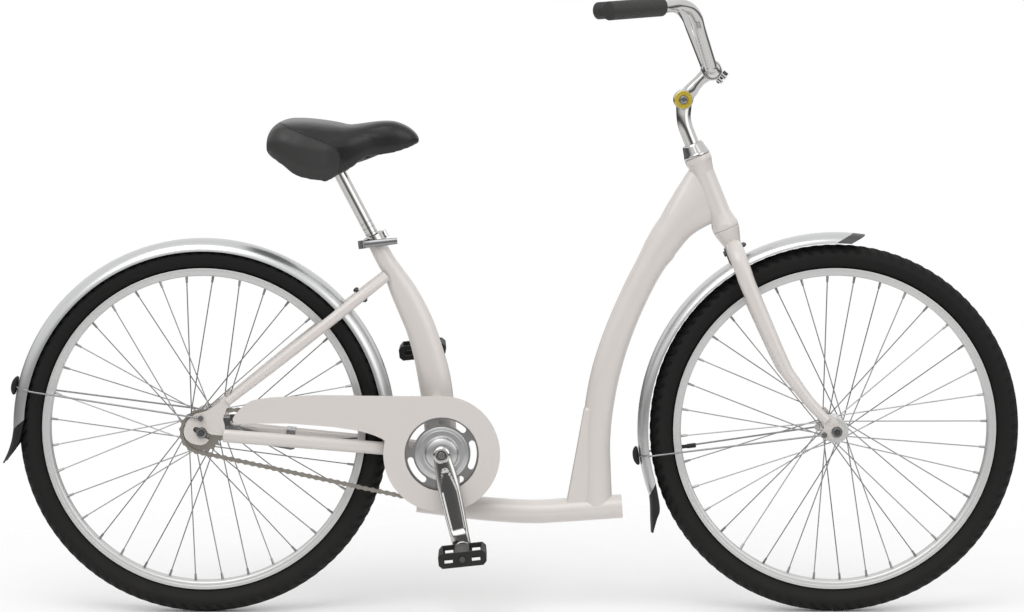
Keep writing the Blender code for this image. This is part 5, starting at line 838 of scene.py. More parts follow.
def crank_arm():
    """The forged arm with a long pocket in its outer face; it hangs straight down on the right side.

    The pocket's half width is the arm's times the root of the distance from the pocket's top, an arch, and its
    depth is the product of smooth steps along the arm and across it.
    """
    path = flowing(ARM_STATIONS, 30)
    points, faces = carried(path, 72, power=2.7)
    centre_y = np.interp(-points[:, 2], -path[:, 2], path[:, 1])
    deep = np.interp(-points[:, 2], -path[:, 2], path[:, 3])
    down = -points[:, 2]
    arch = np.sqrt(np.clip((down - POCKET_TOP) / POCKET_ARCH, 0, 1))
    ends = smooth_step(arch, 0.1, 0.5) * (1 - smooth_step(down, 0.132, 0.143))
    width = 0.76 * deep * np.maximum(arch, 0.001)
    inside = 1 - smooth_step(np.abs(points[:, 0]) / width, 0.74, 1.0)
    outer = smooth_step(centre_y - points[:, 1], 0.0020, 0.0045)
    points[:, 1] += POCKET_DEPTH * inside * outer * ends
    eye = spun(rounded([(0.0068, -0.0870), (0.0160, -0.0870), (0.0160, -0.0753), (0.0068, -0.0753)], 0.0016), 56)
    return [(points, faces), set_at(eye, (0, 0, -CRANK_LENGTH))]


def on_crank(shapes, turn, mirrored):
    """The hanging right crank's shapes, turned round the crank's axis and mirrored for the left side."""
    return [set_at(set_at(other_side(s) if mirrored else s, turn), BRACKET) for s in shapes]


def cranks():
    """Both cranks, the right one with its stepped disc, the bolts that hold them, and a dark disc of painted shade in
    each bolt's recess.
    """
    made = finishes()
    cup = [(0.0, -0.0735), (0.0092, -0.0735), (0.0092, -0.0760), (0.0116, -0.0760), (0.0150, -0.0745)]
    hub = cup + [(0.0150, -0.0500), (0.0, -0.0500)]
    disc = [(0.0150, -0.0600), (0.0272, -0.0570), (0.0285, -0.0545), (0.0297, -0.0520), (0.0330, -0.0515),
            (0.0400, -0.0515), (0.0415, -0.0510), (0.0473, -0.0505), (0.0473, -0.0486), (0.0200, -0.0486),
            (0.0200, -0.0445), (0.0150, -0.0445)]
    # This thin dark disc lines the floor of each bolt's recess: it is painted shade in the recess.
    bolt = [spun([(0.0, -0.0740), (0.0091, -0.0740), (0.0091, -0.0730), (0.0, -0.0730)], 40, closed=False)]
    head = [spun([(0.0, -0.0748), (0.0024, -0.0748), (0.0026, -0.0757), (0.0052, -0.0757), (0.0060, -0.0750),
                  (0.0060, -0.0738), (0.0, -0.0738)], 40, closed=False)]
    down = Matrix.Rotation(-CRANK_TURN, 4, "Y")
    over = Matrix.Rotation(math.pi - CRANK_TURN, 4, "Y")
    arm = crank_arm() + [spun(cup[:1] + rounded(hub[1:-1], 0.0008, 3, closed=False).tolist() + hub[-1:], 64,
                              closed=False)]
    for side, turn, mirrored in (("right", down, False), ("left", over, True)):
        piece("crank_arm_" + side, on_crank(arm, turn, mirrored), "crank", made["chrome"], ("crank_" + side,),
              sharp=50)
        # The dark disc in the bolt's recess is painted shade.
        piece("crank_recess_shade_" + side, on_crank(bolt, turn, mirrored), "crank", made["dark"], ())
        piece("crank_bolt_" + side, on_crank(head, turn, mirrored), "crank", made["spoke"], ())
    stepped = spun(rounded(disc, 0.0006, 3), 96)
    piece("crank_disc", [set_at(stepped, BRACKET)], "crank", made["cast"], ())


# Stem

STEM_AT = Matrix.Translation((0.30224, 0, 0.90782)) @ Matrix.Rotation(-STEER_TURN, 4, "Y")
BAR_FROM_PIVOT = (0.0651, 0.0293)
FORK_REACH = 0.0185                 # how near to the pivot the arm's foot stays outside its lug
CHEEK_INSIDE = 0.0106


def stem():
    """The bent quill with its lug, the tilting arm with cheeks and clamp, its coloured ring and its bolts."""
    made = finishes()
    rows = [(0, 0, 0.470, 0.01245, 0.01245), (0, 0, 0.530, 0.01245, 0.01245), (0, 0, 0.580, 0.01245, 0.01245),
            (0.0008, 0, 0.598, 0.01245, 0.0122), (0.0040, 0, 0.612, 0.0125, 0.0113),
            (0.0100, 0, 0.626, 0.0135, 0.0098), (0.0145, 0, 0.636, 0.0140, 0.0095)]
    lug = spun(rounded([(0.0042, -0.010), (0.017, -0.010), (0.017, 0.010), (0.0042, 0.010)], 0.0015), 64)
    shapes = [carried(flowing(rows, 8), 40), set_at(lug, (0.0145, 0, 0.640))]
    piece("stem_post", [set_at(s, STEERING) for s in shapes], "steering", made["chrome"], ("stem_quill",))
    x, z = BAR_FROM_PIVOT
    cheek = spun(rounded([(0.0042, -0.0170), (0.0170, -0.0170), (0.0170, -0.0103), (0.0042, -0.0103)], 0.0022), 64)
    way = np.array((x, 0, z))
    rise = np.array((-z, 0, x)) / math.hypot(x, z)
    beam = []
    for share, deep, wide, bow in ((0.10, 0.0120, 0.0150, 0.0), (0.27, 0.0125, 0.0163, 0.0012),
                                   (0.45, 0.0108, 0.0160, 0.0022), (0.62, 0.0100, 0.0163, 0.0022),
                                   (0.80, 0.0118, 0.0172, 0.0012), (0.96, 0.0140, 0.0176, 0.0)):
        beam.append((*(way * share + rise * bow), deep, wide))
    points, faces = carried(flowing(beam, 8), 48, power=2.6)
    near = np.hypot(points[:, 0], points[:, 2]) < FORK_REACH
    spread = np.sign(points[:, 1]) * np.maximum(np.abs(points[:, 1]), CHEEK_INSIDE)
    points = np.column_stack([points[:, 0], np.where(near, spread, points[:, 1]), points[:, 2]])
    clamp = spun(rounded([(0.0129, -0.0185), (0.0180, -0.0185), (0.0180, 0.0185), (0.0129, 0.0185)], 0.0018), 64)
    shapes = [cheek, other_side(cheek), (points, faces), set_at(clamp, (x, 0, z))]
    piece("stem_tilting_arm", [set_at(s, STEM_AT) for s in shapes], "stem", made["chrome"], ("stem_arm",))
    ear_turn = Matrix.Translation((x, 0, z)) @ turned_up(-62.0)
    ears = [block((0.013, -0.0115, low), (0.0285, 0.0115, high))
            for low, high in ((0.0012, 0.0083), (-0.0083, -0.0012))]
    piece("stem_clamp_ears", [set_at(s, STEM_AT @ ear_turn) for s in ears], "stem", made["chrome"], (),
          bevel=0.0022)
    ring = rounded([(0.0158, -0.0171), (0.0158, -0.0187), (0.0142, -0.0199), (0.0126, -0.0199), (0.0121, -0.0193),
                    (0.0110, -0.0193), (0.0105, -0.0199), (0.0079, -0.0196), (0.0079, -0.0171)], 0.0003, 3)
    piece("stem_ring", [set_at(spun(ring, 64), STEM_AT)], "stem", made["yellow"], ("stem_pivot_ring",))
    bolt = [spun([(0.0, -0.0208), (0.0032, -0.0208), (0.0034, -0.0240), (0.0058, -0.0244), (0.0069, -0.0236),
                  (0.0070, -0.0173), (0.0, -0.0173)], 40, closed=False),
            bar((0, 0.0173, 0), (0, 0.0228, 0), 0.0070, 6)]
    piece("stem_bolt", [set_at(s, STEM_AT) for s in bolt], "stem", made["spoke"], ("stem_pivot_bolt",),
          bevel=0.0003)
    cone = [(0.0145, 0.5386), (0.0230, 0.5386), (0.0230, 0.5420), (0.0222, 0.5440), (0.0188, 0.5590),
            (0.0176, 0.5619), (0.0128, 0.5619), (0.0145, 0.5585)]
    piece("headset_cone_turned", [set_at(spun(rounded(cone, 0.0006, 3), 64, "Z"), STEERING)], "steering",
          made["chrome"], ("headset_cone",))


# Frame

STEER_UP = np.array((-math.sin(STEER_TURN), 0.0, math.cos(STEER_TURN)))
STEER_FORWARD = np.array((math.cos(STEER_TURN), 0.0, math.sin(STEER_TURN)))
POST_UP = np.array((-math.sin(SEAT_TURN), 0.0, math.cos(SEAT_TURN)))
MAIN_FOOT = np.array((0.15177, 0.0, 0.190))
TUBE_SIDES = 56


def from_bracket(stations, steps):
    """Rows on a smooth path through stations (x, z, half depth, half width) measured from the crank's axis."""
    rows = [(BRACKET[0] + x, 0.0, BRACKET[2] + z, deep, wide) for x, z, deep, wide in stations]
    return flowing(rows, steps)


def main_tube():
    """The curved main tube, whose last sections turn along the head tube."""
    head = STEER_FOOT - 0.100 * STEER_FORWARD + 0.4275 * STEER_UP
    shares = ((0, 0, 0.0280, 0.0205), (0.002, 0.130, 0.0248, 0.0200), (-0.003, 0.240, 0.0243, 0.020),
              (0.030, 0.360, 0.0253, 0.020), (0.135, 0.504, 0.0255, 0.020), (0.319, 0.652, 0.0247, 0.020),
              (0.566, 0.801, 0.0245, 0.020), (0.800, 0.915, 0.0262, 0.0205))
    way = head - MAIN_FOOT
    rows = [(MAIN_FOOT[0] + sx * way[0], 0, MAIN_FOOT[2] + sz * way[2], deep, wide) for sx, sz, deep, wide in shares]
    for forward, up, deep, wide in ((-0.100, 0.4275, 0.0355, 0.0210), (-0.060, 0.4537, 0.0410, 0.0190),
                                    (-0.012, 0.4745, 0.0545, 0.0140)):
        rows.append((*(STEER_FOOT + forward * STEER_FORWARD + up * STEER_UP), deep, wide))
    steps = 10
    path = flowing(rows, steps)
    n = np.cross(ACROSS, directions(path[:, :3]))
    turned = np.clip(np.arange(len(path)) / steps - (len(shares) - 1), 0, 1)[:, None]
    n = n * (1 - turned) - STEER_UP * turned
    n /= np.linalg.norm(n, axis=1)[:, None]
    a = np.linspace(0, 2 * np.pi, TUBE_SIDES, endpoint=False)
    points = path[:, None, :3] + n[:, None, :] * (path[:, 3:4] * np.cos(a))[:, :, None]
    points = points + ACROSS * (path[:, 4:5] * np.sin(a))[:, :, None]
    last = (len(path) - 1) * TUBE_SIDES
    ends = [list(range(TUBE_SIDES)), list(range(last, last + TUBE_SIDES))]
    return points.reshape(-1, 3), grid_faces(len(path), TUBE_SIDES) + ends


def main_frame():
    """Seat tube, keel, main tube, head tube, bracket shell and the web at the main tube's foot."""
    neck = SEAT_TOP - POST_UP * 0.044 - BRACKET
    top = SEAT_TOP - BRACKET
    seat = ((top[0], top[2], 0.015, 0.015), (neck[0], neck[2], 0.0160, 0.0155), (-0.0864, 0.3170, 0.0172, 0.0158),
            (-0.0691, 0.2847, 0.0225, 0.0165), (-0.0516, 0.2492, 0.0250, 0.0172), (-0.0366, 0.2138, 0.0258, 0.0180),
            (-0.0208, 0.1607, 0.0275, 0.0190), (-0.0103, 0.1076, 0.0285, 0.0200), (0, 0, 0.0280, 0.0210),
            (0.0066, -0.0980, 0.0270, 0.0210))
    keel = [(x, z, 0.021, 0.021) for x, z in ((-0.0437, -0.0900), (0.0584, -0.1032), (0.1532, -0.1100),
                                              (0.2296, -0.1065), (0.3186, -0.1005))]
    head = [(0.0156, 0.401), (0.0235, 0.401), (0.0235, 0.410), (0.0215, 0.416), (0.0185, 0.431), (0.0185, 0.508),
            (0.0215, 0.523), (0.0235, 0.529), (0.0235, 0.538), (0.0156, 0.538)]
    shell = [(0.0172, 0.034), (0.0222, 0.034), (0.0222, -0.034), (0.0172, -0.034)]
    x, z = MAIN_FOOT[0], MAIN_FOOT[2]
    web = [(x - 0.054, z), (x - 0.004, z), (x - 0.010, z + 0.175), (x - 0.022, z + 0.175)]
    made = finishes()
    shapes = [carried(from_bracket(seat, 8), TUBE_SIDES, hollow=(0.0032, 0.060, 0)),
              carried(from_bracket(keel, 10), TUBE_SIDES, hollow=(0.0035, 0.020, 0.030)), main_tube(),
              set_at(spun(rounded(head, 0.0012, 3), 72, "Z"), STEERING),
              set_at(spun(rounded(shell, 0.0010, 3), 56), BRACKET)]
    piece("main_frame_tubes", shapes, "frame", made["pearl"], ("main_frame",))
    piece("main_frame_web", [sheet_metal([web], -0.015, 0.015)], "frame", made["pearl"], (), bevel=0.004)


DROPOUT_EDGE = ((0.01634, -0.00298), (0.039, -0.0055), (0.041, 0.012), (0.037, 0.025), (0.045, 0.045),
                (0.052, 0.050), (0.040, 0.066), (0.030, 0.052), (0.008, 0.038), (-0.012, 0.033), (-0.026, 0.020),
                (-0.032, 0.003), (-0.029, -0.010), (-0.018, -0.019), (-0.002, -0.0225), (0.008, -0.019),
                (0.0125, -0.013), (0.01249, -0.01274))


def rear_stays():
    """Chainstays, seatstays, dropouts and the two bridges."""
    made = finishes()
    low = []
    for x, y, wide in ((0.038, 0.0600, 0.0070), (0.060, 0.0590, 0.0070), (0.200, 0.0470, 0.0068),
                       (0.33042, 0.0365, 0.0060), (0.40042, 0.0220, 0.0080)):
        low.append((x - 0.54225, -y, 0.325 - 0.0385 * x / 0.42042, 0.0115, wide))
    high = []
    for x, y, z, deep, wide in ((0.0456, 0.0590, 0.3805, 0.0070, 0.0065), (0.150, 0.0540, 0.4626, 0.0095, 0.0070),
                                (0.245, 0.043, 0.5372, 0.0095, 0.0070), (0.28514, 0.034, 0.56917, 0.0095, 0.0070),
                                (0.32214, 0.014, 0.59817, 0.0095, 0.0065)):
        high.append((x - 0.54225, -y, z, deep, wide))
    edge = rounded(DROPOUT_EDGE, 0.0045, 4, closed=False).tolist()
    edge += arc(-0.00966, 0.00527, 0.0052, -118.6, -298.6, 12).tolist()
    plate = sheet_metal([edge, arc(-0.001, 0.0258, 0.0026, 0, 345, 23).tolist()], -0.0603, -0.0553)
    plate = set_at(plate, REAR_HUB)
    tubes = [carried(flowing(low, 8), 32), carried(flowing(high, 8), 32)]
    tubes += [other_side(s) for s in tubes]
    tubes.append(bar((-0.19223, -0.034, 0.291), (-0.19223, 0.034, 0.291), 0.007, 24))
    tubes.append(bar((-0.26835, -0.037, 0.5603), (-0.26835, 0.037, 0.5603), 0.007, 24))
    piece("rear_stay_tubes", tubes, "frame", made["pearl"], ("rear_stays",))
    piece("rear_dropouts", [plate, other_side(plate)], "frame", made["pearl"], (), bevel=0.0005)


def chain_guard():
    """The pan over the chain: a face with a round hole, a rolled edge and the tab that bolts it to the frame."""
    bx, bz = BRACKET[0], BRACKET[2]
    hx, hz = REAR_HUB[0], REAR_HUB[2]
    points = arc(bx, bz, 0.1025, 166.0, 444.0, 70).tolist() + [(bx - 0.075, bz + 0.1024)]
    tail = ((0.1994, 0.0659), (0.120, 0.0615), (0.0864, 0.0565), (0.0670, 0.0420), (0.0534, 0.0244), (0.0570, 0.0160),
            (0.0658, 0.0140), (0.0822, 0.0161), (0.1519, 0.0161), (0.2301, 0.0099))
    points += [(hx + x, hz + z) for x, z in tail]
    points += [(bx - 0.1490, hz + 0.0037), (bx - 0.1200, hz - 0.0040)]
    edge = rounded(points, 0.010, 4)
    inner = drawn_in(edge, 0.0020)
    made = finishes()
    hole, lip_inner, lip_outer = (arc(bx, bz, r, 0, 355, 71).tolist() for r in (0.065, 0.0652, 0.067))
    face = sheet_metal([edge.tolist(), hole], -0.0585, -0.0567)
    wall = sheet_metal([drawn_in(edge, 0.0002).tolist(), inner.tolist()], -0.0568, -0.0520)
    ring = sheet_metal([lip_outer, lip_inner], -0.0568, -0.0530)
    piece("chain_guard_pan", [face], "frame", made["pearl"], ("chain_guard",), bevel=0.0007)
    piece("chain_guard_walls", [wall, ring], "frame", made["pearl"], ())
    tab = block((bx - 0.017, -0.0570, bz + 0.0945), (bx - 0.001, -0.018, bz + 0.0990))
    piece("chain_guard_tab", [tab], "frame", made["pearl"], (), bevel=0.0008)
    screw = bar((hx + 0.0782, -0.0584, hz + 0.0255), (hx + 0.0782, -0.0562, hz + 0.0255), 0.0042, 24)
    piece("chain_guard_screw", [screw], "frame", made["dark"], (), bevel=0.0004)


def drawn_in(outline, distance):
    """A counter-clockwise outline moved to its inner side, along the normal of each point's neighbours."""
    p = np.array(outline)
    along = np.roll(p, -1, axis=0) - np.roll(p, 1, axis=0)
    along /= np.linalg.norm(along, axis=1)[:, None] + 1e-12
    return p + np.stack([-along[:, 1], along[:, 0]], -1) * distance


# Steering

BLADE = ((0, 0.3670, 0, 0.0140, 0.0150), (0.020, 0.3640, 0, 0.0135, 0.0150), (0.038, 0.3480, -0.0005, 0.0125, 0.0148),
         (0.0455, 0.3220, -0.0015, 0.0115, 0.0145), (0.0475, 0.2900, -0.0025, 0.0110, 0.0142),
         (0.0500, 0.1500, 0.0020, 0.0100, 0.0120), (0.0507, 0.1140, 0.0080, 0.0095, 0.0110),
         (0.0518, 0.0590, 0.0230, 0.0085, 0.0095), (0.0528, 0.0250, 0.0370, 0.0078, 0.0085))


FORK_END = ((0.0502, -0.01177), (0.0520, -0.0113), (0.0570, -0.0065), (0.0585, 0.0), (0.0570, 0.007), (0.0475, 0.034),
            (0.0305, 0.034), (0.0275, 0.015), (0.0225, 0.0115), (0.0175, 0.009), (0.0155, 0.004), (0.0180, -0.0015),
            (0.0220, -0.0030), (0.0375, -0.0106), (0.0408, -0.0116))


def fork():
    """The fork: blades as one bent oval tube over the wheel, the crown's cone and the end plates."""
    made = finishes()
    right = [(f, -y, s, thick, deep) for y, s, f, thick, deep in BLADE]
    left = [(f, y, s, thick, deep) for y, s, f, thick, deep in BLADE]
    path = flowing(right[::-1] + left[1:], 8)
    cone = [(0.0145, 0.4007), (0.0232, 0.4007), (0.0232, 0.3985), (0.0205, 0.388), (0.0160, 0.374), (0.0145, 0.366)]
    shapes = [carried(path, 40, (1, 0, 0)), spun(rounded(cone, 0.0008, 3), 64, "Z")]
    piece("fork_blades", [set_at(s, STEERING) for s in shapes], "steering", made["pearl"], ("fork",))
    edge = rounded(FORK_END, 0.0035, 4, closed=False).tolist() + arc(0.0455, 0, 0.0047, 180, 0, 10).tolist()
    plate = sheet_metal([edge], -0.0553, -0.0503)
    piece("fork_ends", [set_at(s, STEERING) for s in (plate, other_side(plate))], "steering", made["pearl"], (),
          bevel=0.0005)


BAR_AXIS = (0.35154, 0.0, 0.95945)
BAR_END = np.array((-0.1885, 0.298, 0.1035))
BAR_LAST = np.array((-0.0935, 0.212, 0.1105))
BAR_WAY = (BAR_END - BAR_LAST) / np.linalg.norm(BAR_END - BAR_LAST)
GRIP_LENGTH = 0.1248
GRIP_R = 0.0160
GRIP_START = 0.122                  # how far before the bar's end the grip begins
RIB_SPACING = 0.0052
RIB_MARGIN = 0.010
GRIP_ROUNDING = 0.0016


def handlebar():
    """The swept handlebar, thicker at its clamp, and the two ribbed grips."""
    made = finishes()
    half = [(0, 0, 0), (0, 0.040, 0), (-0.0035, 0.055, 0.0035), (-0.0075, 0.062, 0.0141), (-0.0275, 0.105, 0.0701),
            (-0.0357, 0.130, 0.0932), (-0.0495, 0.150, 0.1085), (-0.0725, 0.170, 0.1130), tuple(BAR_LAST)]
    half += [tuple(BAR_END - BAR_WAY * back) for back in (0.118, 0.060, 0.0)]
    knots = [(x, -y, z) for x, y, z in reversed(half)] + half[1:]
    path = flowing(knots, 10)
    radius = 0.0111 + 0.0016 * np.clip((0.0475 - np.abs(path[:, 1])) / 0.005, 0, 1)
    rows = np.column_stack([path, radius, radius])
    piece("handlebar_tube", [set_at(carried(rows, 40, (0, 0, 1)), BAR_AXIS)], "bar", made["chrome"], ("handlebar",))
    along = np.linspace(0, 1, 251) * GRIP_LENGTH
    ribbed = (along > RIB_MARGIN) * (along < GRIP_LENGTH - RIB_MARGIN)
    wave = 0.5 - 0.5 * np.cos(2 * np.pi * along / RIB_SPACING)
    ribs = bpy.context.scene.bicycle_sizes.rib_depth * wave * ribbed
    end = np.minimum(along, GRIP_LENGTH - along)
    r = GRIP_R - ribs - GRIP_ROUNDING * np.clip(1 - end / GRIP_ROUNDING, 0, 1) ** 2
    centres = BAR_END[None, :] - BAR_WAY[None, :] * (GRIP_START - along[:, None])
    left = set_at(carried(np.column_stack([centres, r, r]), 48, (0, 0, 1)), BAR_AXIS)
    piece("grip_left_ribbed", [left], "bar", made["grip"], ("grip_left",))
    piece("grip_right_ribbed", [other_side(left)], "bar", made["grip"], ("grip_right",))


# Seat

SADDLE_AT = (-0.31222, 0.0, 0.80048)
SADDLE_FORM = (
    (-0.114, 0.0280, 0.0210, 0.060), (-0.110, 0.0500, 0.0150, 0.090), (-0.098, 0.0660, 0.0060, 0.103),
    (-0.081, 0.0730, -0.0060, 0.110), (-0.062, 0.0738, -0.0205, 0.111), (-0.044, 0.0735, -0.0270, 0.109),
    (-0.021, 0.0708, -0.0310, 0.102), (-0.007, 0.0685, -0.0330, 0.096), (0.009, 0.0660, -0.0240, 0.083),
    (0.031, 0.0620, -0.0130, 0.063), (0.060, 0.0654, 0.0080, 0.045), (0.083, 0.0695, 0.0110, 0.038),
    (0.108, 0.0695, 0.0150, 0.034), (0.132, 0.0600, 0.0225, 0.027), (0.146, 0.0480, 0.0290, 0.018),
    (0.151, 0.0395, 0.0305, 0.011),
)
HOLLOW_ROOF = 0.0303
SWELL_FROM, SWELL_OVER = 0.034, 0.010
PAD_VOXEL = 0.0040
PAD_SWELL = 0.0018
CLOTH_PRESSURE = 4.0
CLOTH_FRAMES = 20


def saddle_sections():
    """The saddle's closed sections from back to nose: an outer skin over a hollow that is open below."""
    loops = []
    for index, (x, top, low, half) in enumerate(SADDLE_FORM):
        t = top - low
        seam = low + 0.62 * t
        roof = max(HOLLOW_ROOF, low + 0.0004) if 0 < index < len(SADDLE_FORM) - 2 else low + 0.0004
        inner = 0.9 * half - 0.010 if half > 0.02 else 0.4 * half
        side = [(inner, roof), (inner, low), (0.9 * half, low), (0.985 * half, low + 0.22 * t),
                (half, seam - 0.05 * t), (0.972 * half, seam), (0.975 * half, seam + 0.05 * t),
                (0.93 * half, top - 0.26 * t), (0.87 * half, top - 0.14 * t), (0.74 * half, top - 0.07 * t),
                (0.6 * half, top - 0.03 * t), (0.42 * half, top - 0.01 * t), (0.25 * half, top)]
        loop = side + [(0, top + 0.0002)] + [(-y, z) for y, z in reversed(side)] + [(0, roof)]
        loops.append([c for y, z in loop for c in (x, y, z)])
    return flowing(loops, 4)


def saddle_form():
    """The saddle's closed form as one shape."""
    rows = saddle_sections()
    count = rows.shape[1] // 3
    points = rows.reshape(-1, 3)
    faces = grid_faces(len(rows), count)
    faces += [list(range(count)), list(range((len(rows) - 1) * count, len(rows) * count))]
    return set_at((points, faces), SADDLE_AT)


def stuffed(mesh, voxel, most, free):
    """A form remeshed, blown up as cloth, and held back: each point moves at most its share of a distance.

    free gives each point's share from 0 to 1, from its place.
    """
    obj = bpy.data.objects.new("form", mesh)
    scene = bpy.context.scene
    scene.collection.objects.link(obj)
    remesh = obj.modifiers.new("even", "REMESH")
    remesh.mode = "VOXEL"
    remesh.voxel_size = voxel
    calm = obj.modifiers.new("calm", "SMOOTH")
    calm.factor = 0.5
    calm.iterations = 6
    depsgraph = bpy.context.evaluated_depsgraph_get()
    even = bpy.data.meshes.new_from_object(obj.evaluated_get(depsgraph))
    obj.modifiers.clear()
    obj.data = even
    count = len(even.vertices)
    rest = np.empty(count * 3)
    even.vertices.foreach_get("co", rest)
    rest = rest.reshape(-1, 3)
    share = free(rest)
    held = obj.vertex_groups.new(name="held")
    held.add(np.nonzero(share < 0.05)[0].tolist(), 1.0, "REPLACE")
    cloth = obj.modifiers.new("cloth", "CLOTH")
    cloth.settings.use_pressure = True
    cloth.settings.uniform_pressure_force = CLOTH_PRESSURE
    cloth.settings.vertex_group_mass = "held"
    cloth.settings.effector_weights.gravity = 0.0
    for step in range(1, CLOTH_FRAMES + 1):
        scene.frame_set(step)
    depsgraph = bpy.context.evaluated_depsgraph_get()
    blown = bpy.data.meshes.new_from_object(obj.evaluated_get(depsgraph))
    moved = np.empty(count * 3)
    blown.vertices.foreach_get("co", moved)
    shift = moved.reshape(-1, 3) - rest
    size = np.linalg.norm(shift, axis=1)[:, None]
    shift *= np.minimum(1.0, most / np.maximum(size, 1e-9)) * share[:, None]
    even.vertices.foreach_set("co", (rest + shift).ravel())
    even.update()
    scene.frame_set(1)
    bpy.data.objects.remove(obj)
    return even


SEAM = ((-0.108, 0.056), (-0.098, 0.068), (-0.083, 0.0665), (-0.065, 0.0580), (-0.039, 0.0470), (-0.0096, 0.0350),
        (0.0033, 0.0290), (0.0120, 0.0180), (0.0160, 0.0020), (0.0130, -0.0190))


def mark_panels(mesh):
    """Stores each point's distance below the side panel's seam, and returns the seams as they lie on the skin.

    The distance is negative outside the panel. The seam is a smooth path of (x, z), found on the skin by rays
    from both sides.
    """
    path = flowing(SEAM, 10)
    count = len(mesh.vertices)
    points = np.empty(count * 3)
    mesh.vertices.foreach_get("co", points)
    points = points.reshape(-1, 3) - np.array(SADDLE_AT)
    way = points[:, None, ::2] - path[None]
    nearest = np.argmin((way ** 2).sum(-1), axis=1)
    along = np.gradient(path, axis=0)[nearest]
    gap = way[np.arange(count), nearest]
    signed = np.linalg.norm(gap, axis=1) * np.sign(along[:, 1] * gap[:, 0] - along[:, 0] * gap[:, 1])
    signed = np.where(np.abs(points[:, 1]) < 0.02, -0.01, signed)
    layer = mesh.attributes.new("panel", "FLOAT", "POINT")
    layer.data.foreach_set("value", signed.astype(np.float32))
    skin = bmesh.new()
    skin.from_mesh(mesh)
    tree = BVHTree.FromBMesh(skin)
    skin.free()
    lines = []
    for side in (-1, 1):
        found = []
        for x, z in path:
            start = Vector((SADDLE_AT[0] + x, side * 0.3, SADDLE_AT[2] + z))
            hit = tree.ray_cast(start, Vector((0, -side, 0)))[0]
            if hit and abs(hit.y) > 0.03:
                found.append(hit[:])
        lines.append(np.array(found))
    return lines


def panelled(material):
    """The saddle's vinyl with greyer, duller side panels, told apart by the sign of the panel attribute."""
    tree = material.node_tree
    shader = tree.nodes["Principled BSDF"]
    layer = add_node(tree, "Attribute", attribute_name="panel").outputs["Fac"]
    edge = add_node(tree, "MapRange", {"From Min": -0.0006, "From Max": 0.0006, "Value": layer}).outputs["Result"]
    colour, rough = (shader.inputs[label].links[0].from_socket for label in ("Base Color", "Roughness"))
    mix = add_node(tree, "Mix", {"A": colour, "B": (0.026, 0.0255, 0.025, 1.0), "Factor": edge}, data_type="RGBA")
    duller = math_node(tree, "ADD", rough, math_node(tree, "MULTIPLY", edge, 0.16))
    feed(tree, shader, {"Base Color": mix.outputs["Result"], "Roughness": duller})
    return material


def crown_share(points):
    """How far each point of the saddle may swell: 0 on its lower edge and 1 on its crown."""
    return np.clip((points[:, 2] - SADDLE_AT[2] - SWELL_FROM) / SWELL_OVER, 0, 1)


def saddle():
    """The padded saddle with its seams and stitches and its rails."""
    made = finishes()
    mesh = mesh_of("saddle_skin", [saddle_form()])
    settle(mesh)
    mesh = stuffed(mesh, PAD_VOXEL, PAD_SWELL, crown_share)
    skin = dressed("saddle_skin", mesh, "saddle", panelled(made["saddle"]), ("saddle_cover",))
    skin.data.shade_smooth()
    lines = mark_panels(mesh)
    smooth = skin.modifiers.new("even", "SUBSURF")
    smooth.levels = smooth.render_levels = 1
    ropes = [carried(np.column_stack([line, np.full((len(line), 2), 0.0009)]), 10, (1, 0.2, 0)) for line in lines]
    piece("saddle_seam", ropes, "saddle", made["saddle"], ())
    stitches = []
    for line in lines:
        for start in range(2, len(line) - 3, 3):
            a, b = line[start] + (0, 0, 0.0022), line[start + 2] + (0, 0, 0.0022)
            out = np.array((0, math.copysign(0.0003, a[1]), 0))
            stitches.append(bar(a + out, a + (b - a) * 0.75 + out, 0.00042, 6))
    piece("saddle_stitches", stitches, "saddle", made["grip"], ())
    half = [(0.1070, 0, 0.0217), (0.1040, 0.0085, 0.0217), (0.0920, 0.0130, 0.0195), (0.0640, 0.0180, 0.0080),
            (0.040, 0.022, 0), (0.034, 0.022, 0), (0.010, 0.022, 0), (-0.025, 0.022, 0), (-0.044, 0.022, 0),
            (-0.050, 0.022, 0), (-0.0720, 0.0290, 0.0100), (-0.0850, 0.0350, 0.0232)]
    path = [(x, -y, z) for x, y, z in reversed(half)] + half[1:]
    piece("saddle_rail", [set_at(wire(path, 0.0035, 20, 6, (0, 0, 1)), SADDLE_AT)], "saddle", made["dark"],
          ("saddle_rails",))


def seat_post():
    """The seat post with its insertion marks and the cross head that the saddle's clamp holds."""
    made = finishes()
    profile = [(0.0, -0.125), (0.0111, -0.125), (0.0111, 0.138), (0.0098, 0.1493), (0.0, 0.1493)]
    tube = spun(profile[:1] + rounded(profile[1:-1], 0.0012, 4, closed=False).tolist() + profile[-1:], 48, "Z", False)
    head = spun(rounded([(0.0, 0.0151), (0.011, 0.0151), (0.011, -0.0151), (0.0, -0.0151)], 0.0012, 3), 48)
    shapes = [set_at(tube, SEATING), set_at(set_at(head, (0, 0, 0.1533)), SEATING)]
    marks = []
    for z in (0.010, 0.020, 0.030):
        ring = [(0.01085, z), (0.01125, z), (0.01125, z + 0.0006), (0.01085, z + 0.0006)]
        marks.append(set_at(spun(ring, 48, "Z"), SEATING))
    piece("seat_post_tube", shapes, "post", made["chrome"], ("seat_post",))
    piece("seat_post_marks", marks, "post", made["dark"], ())


# Small solids whose own shapes are kept, with round shading and eased edges

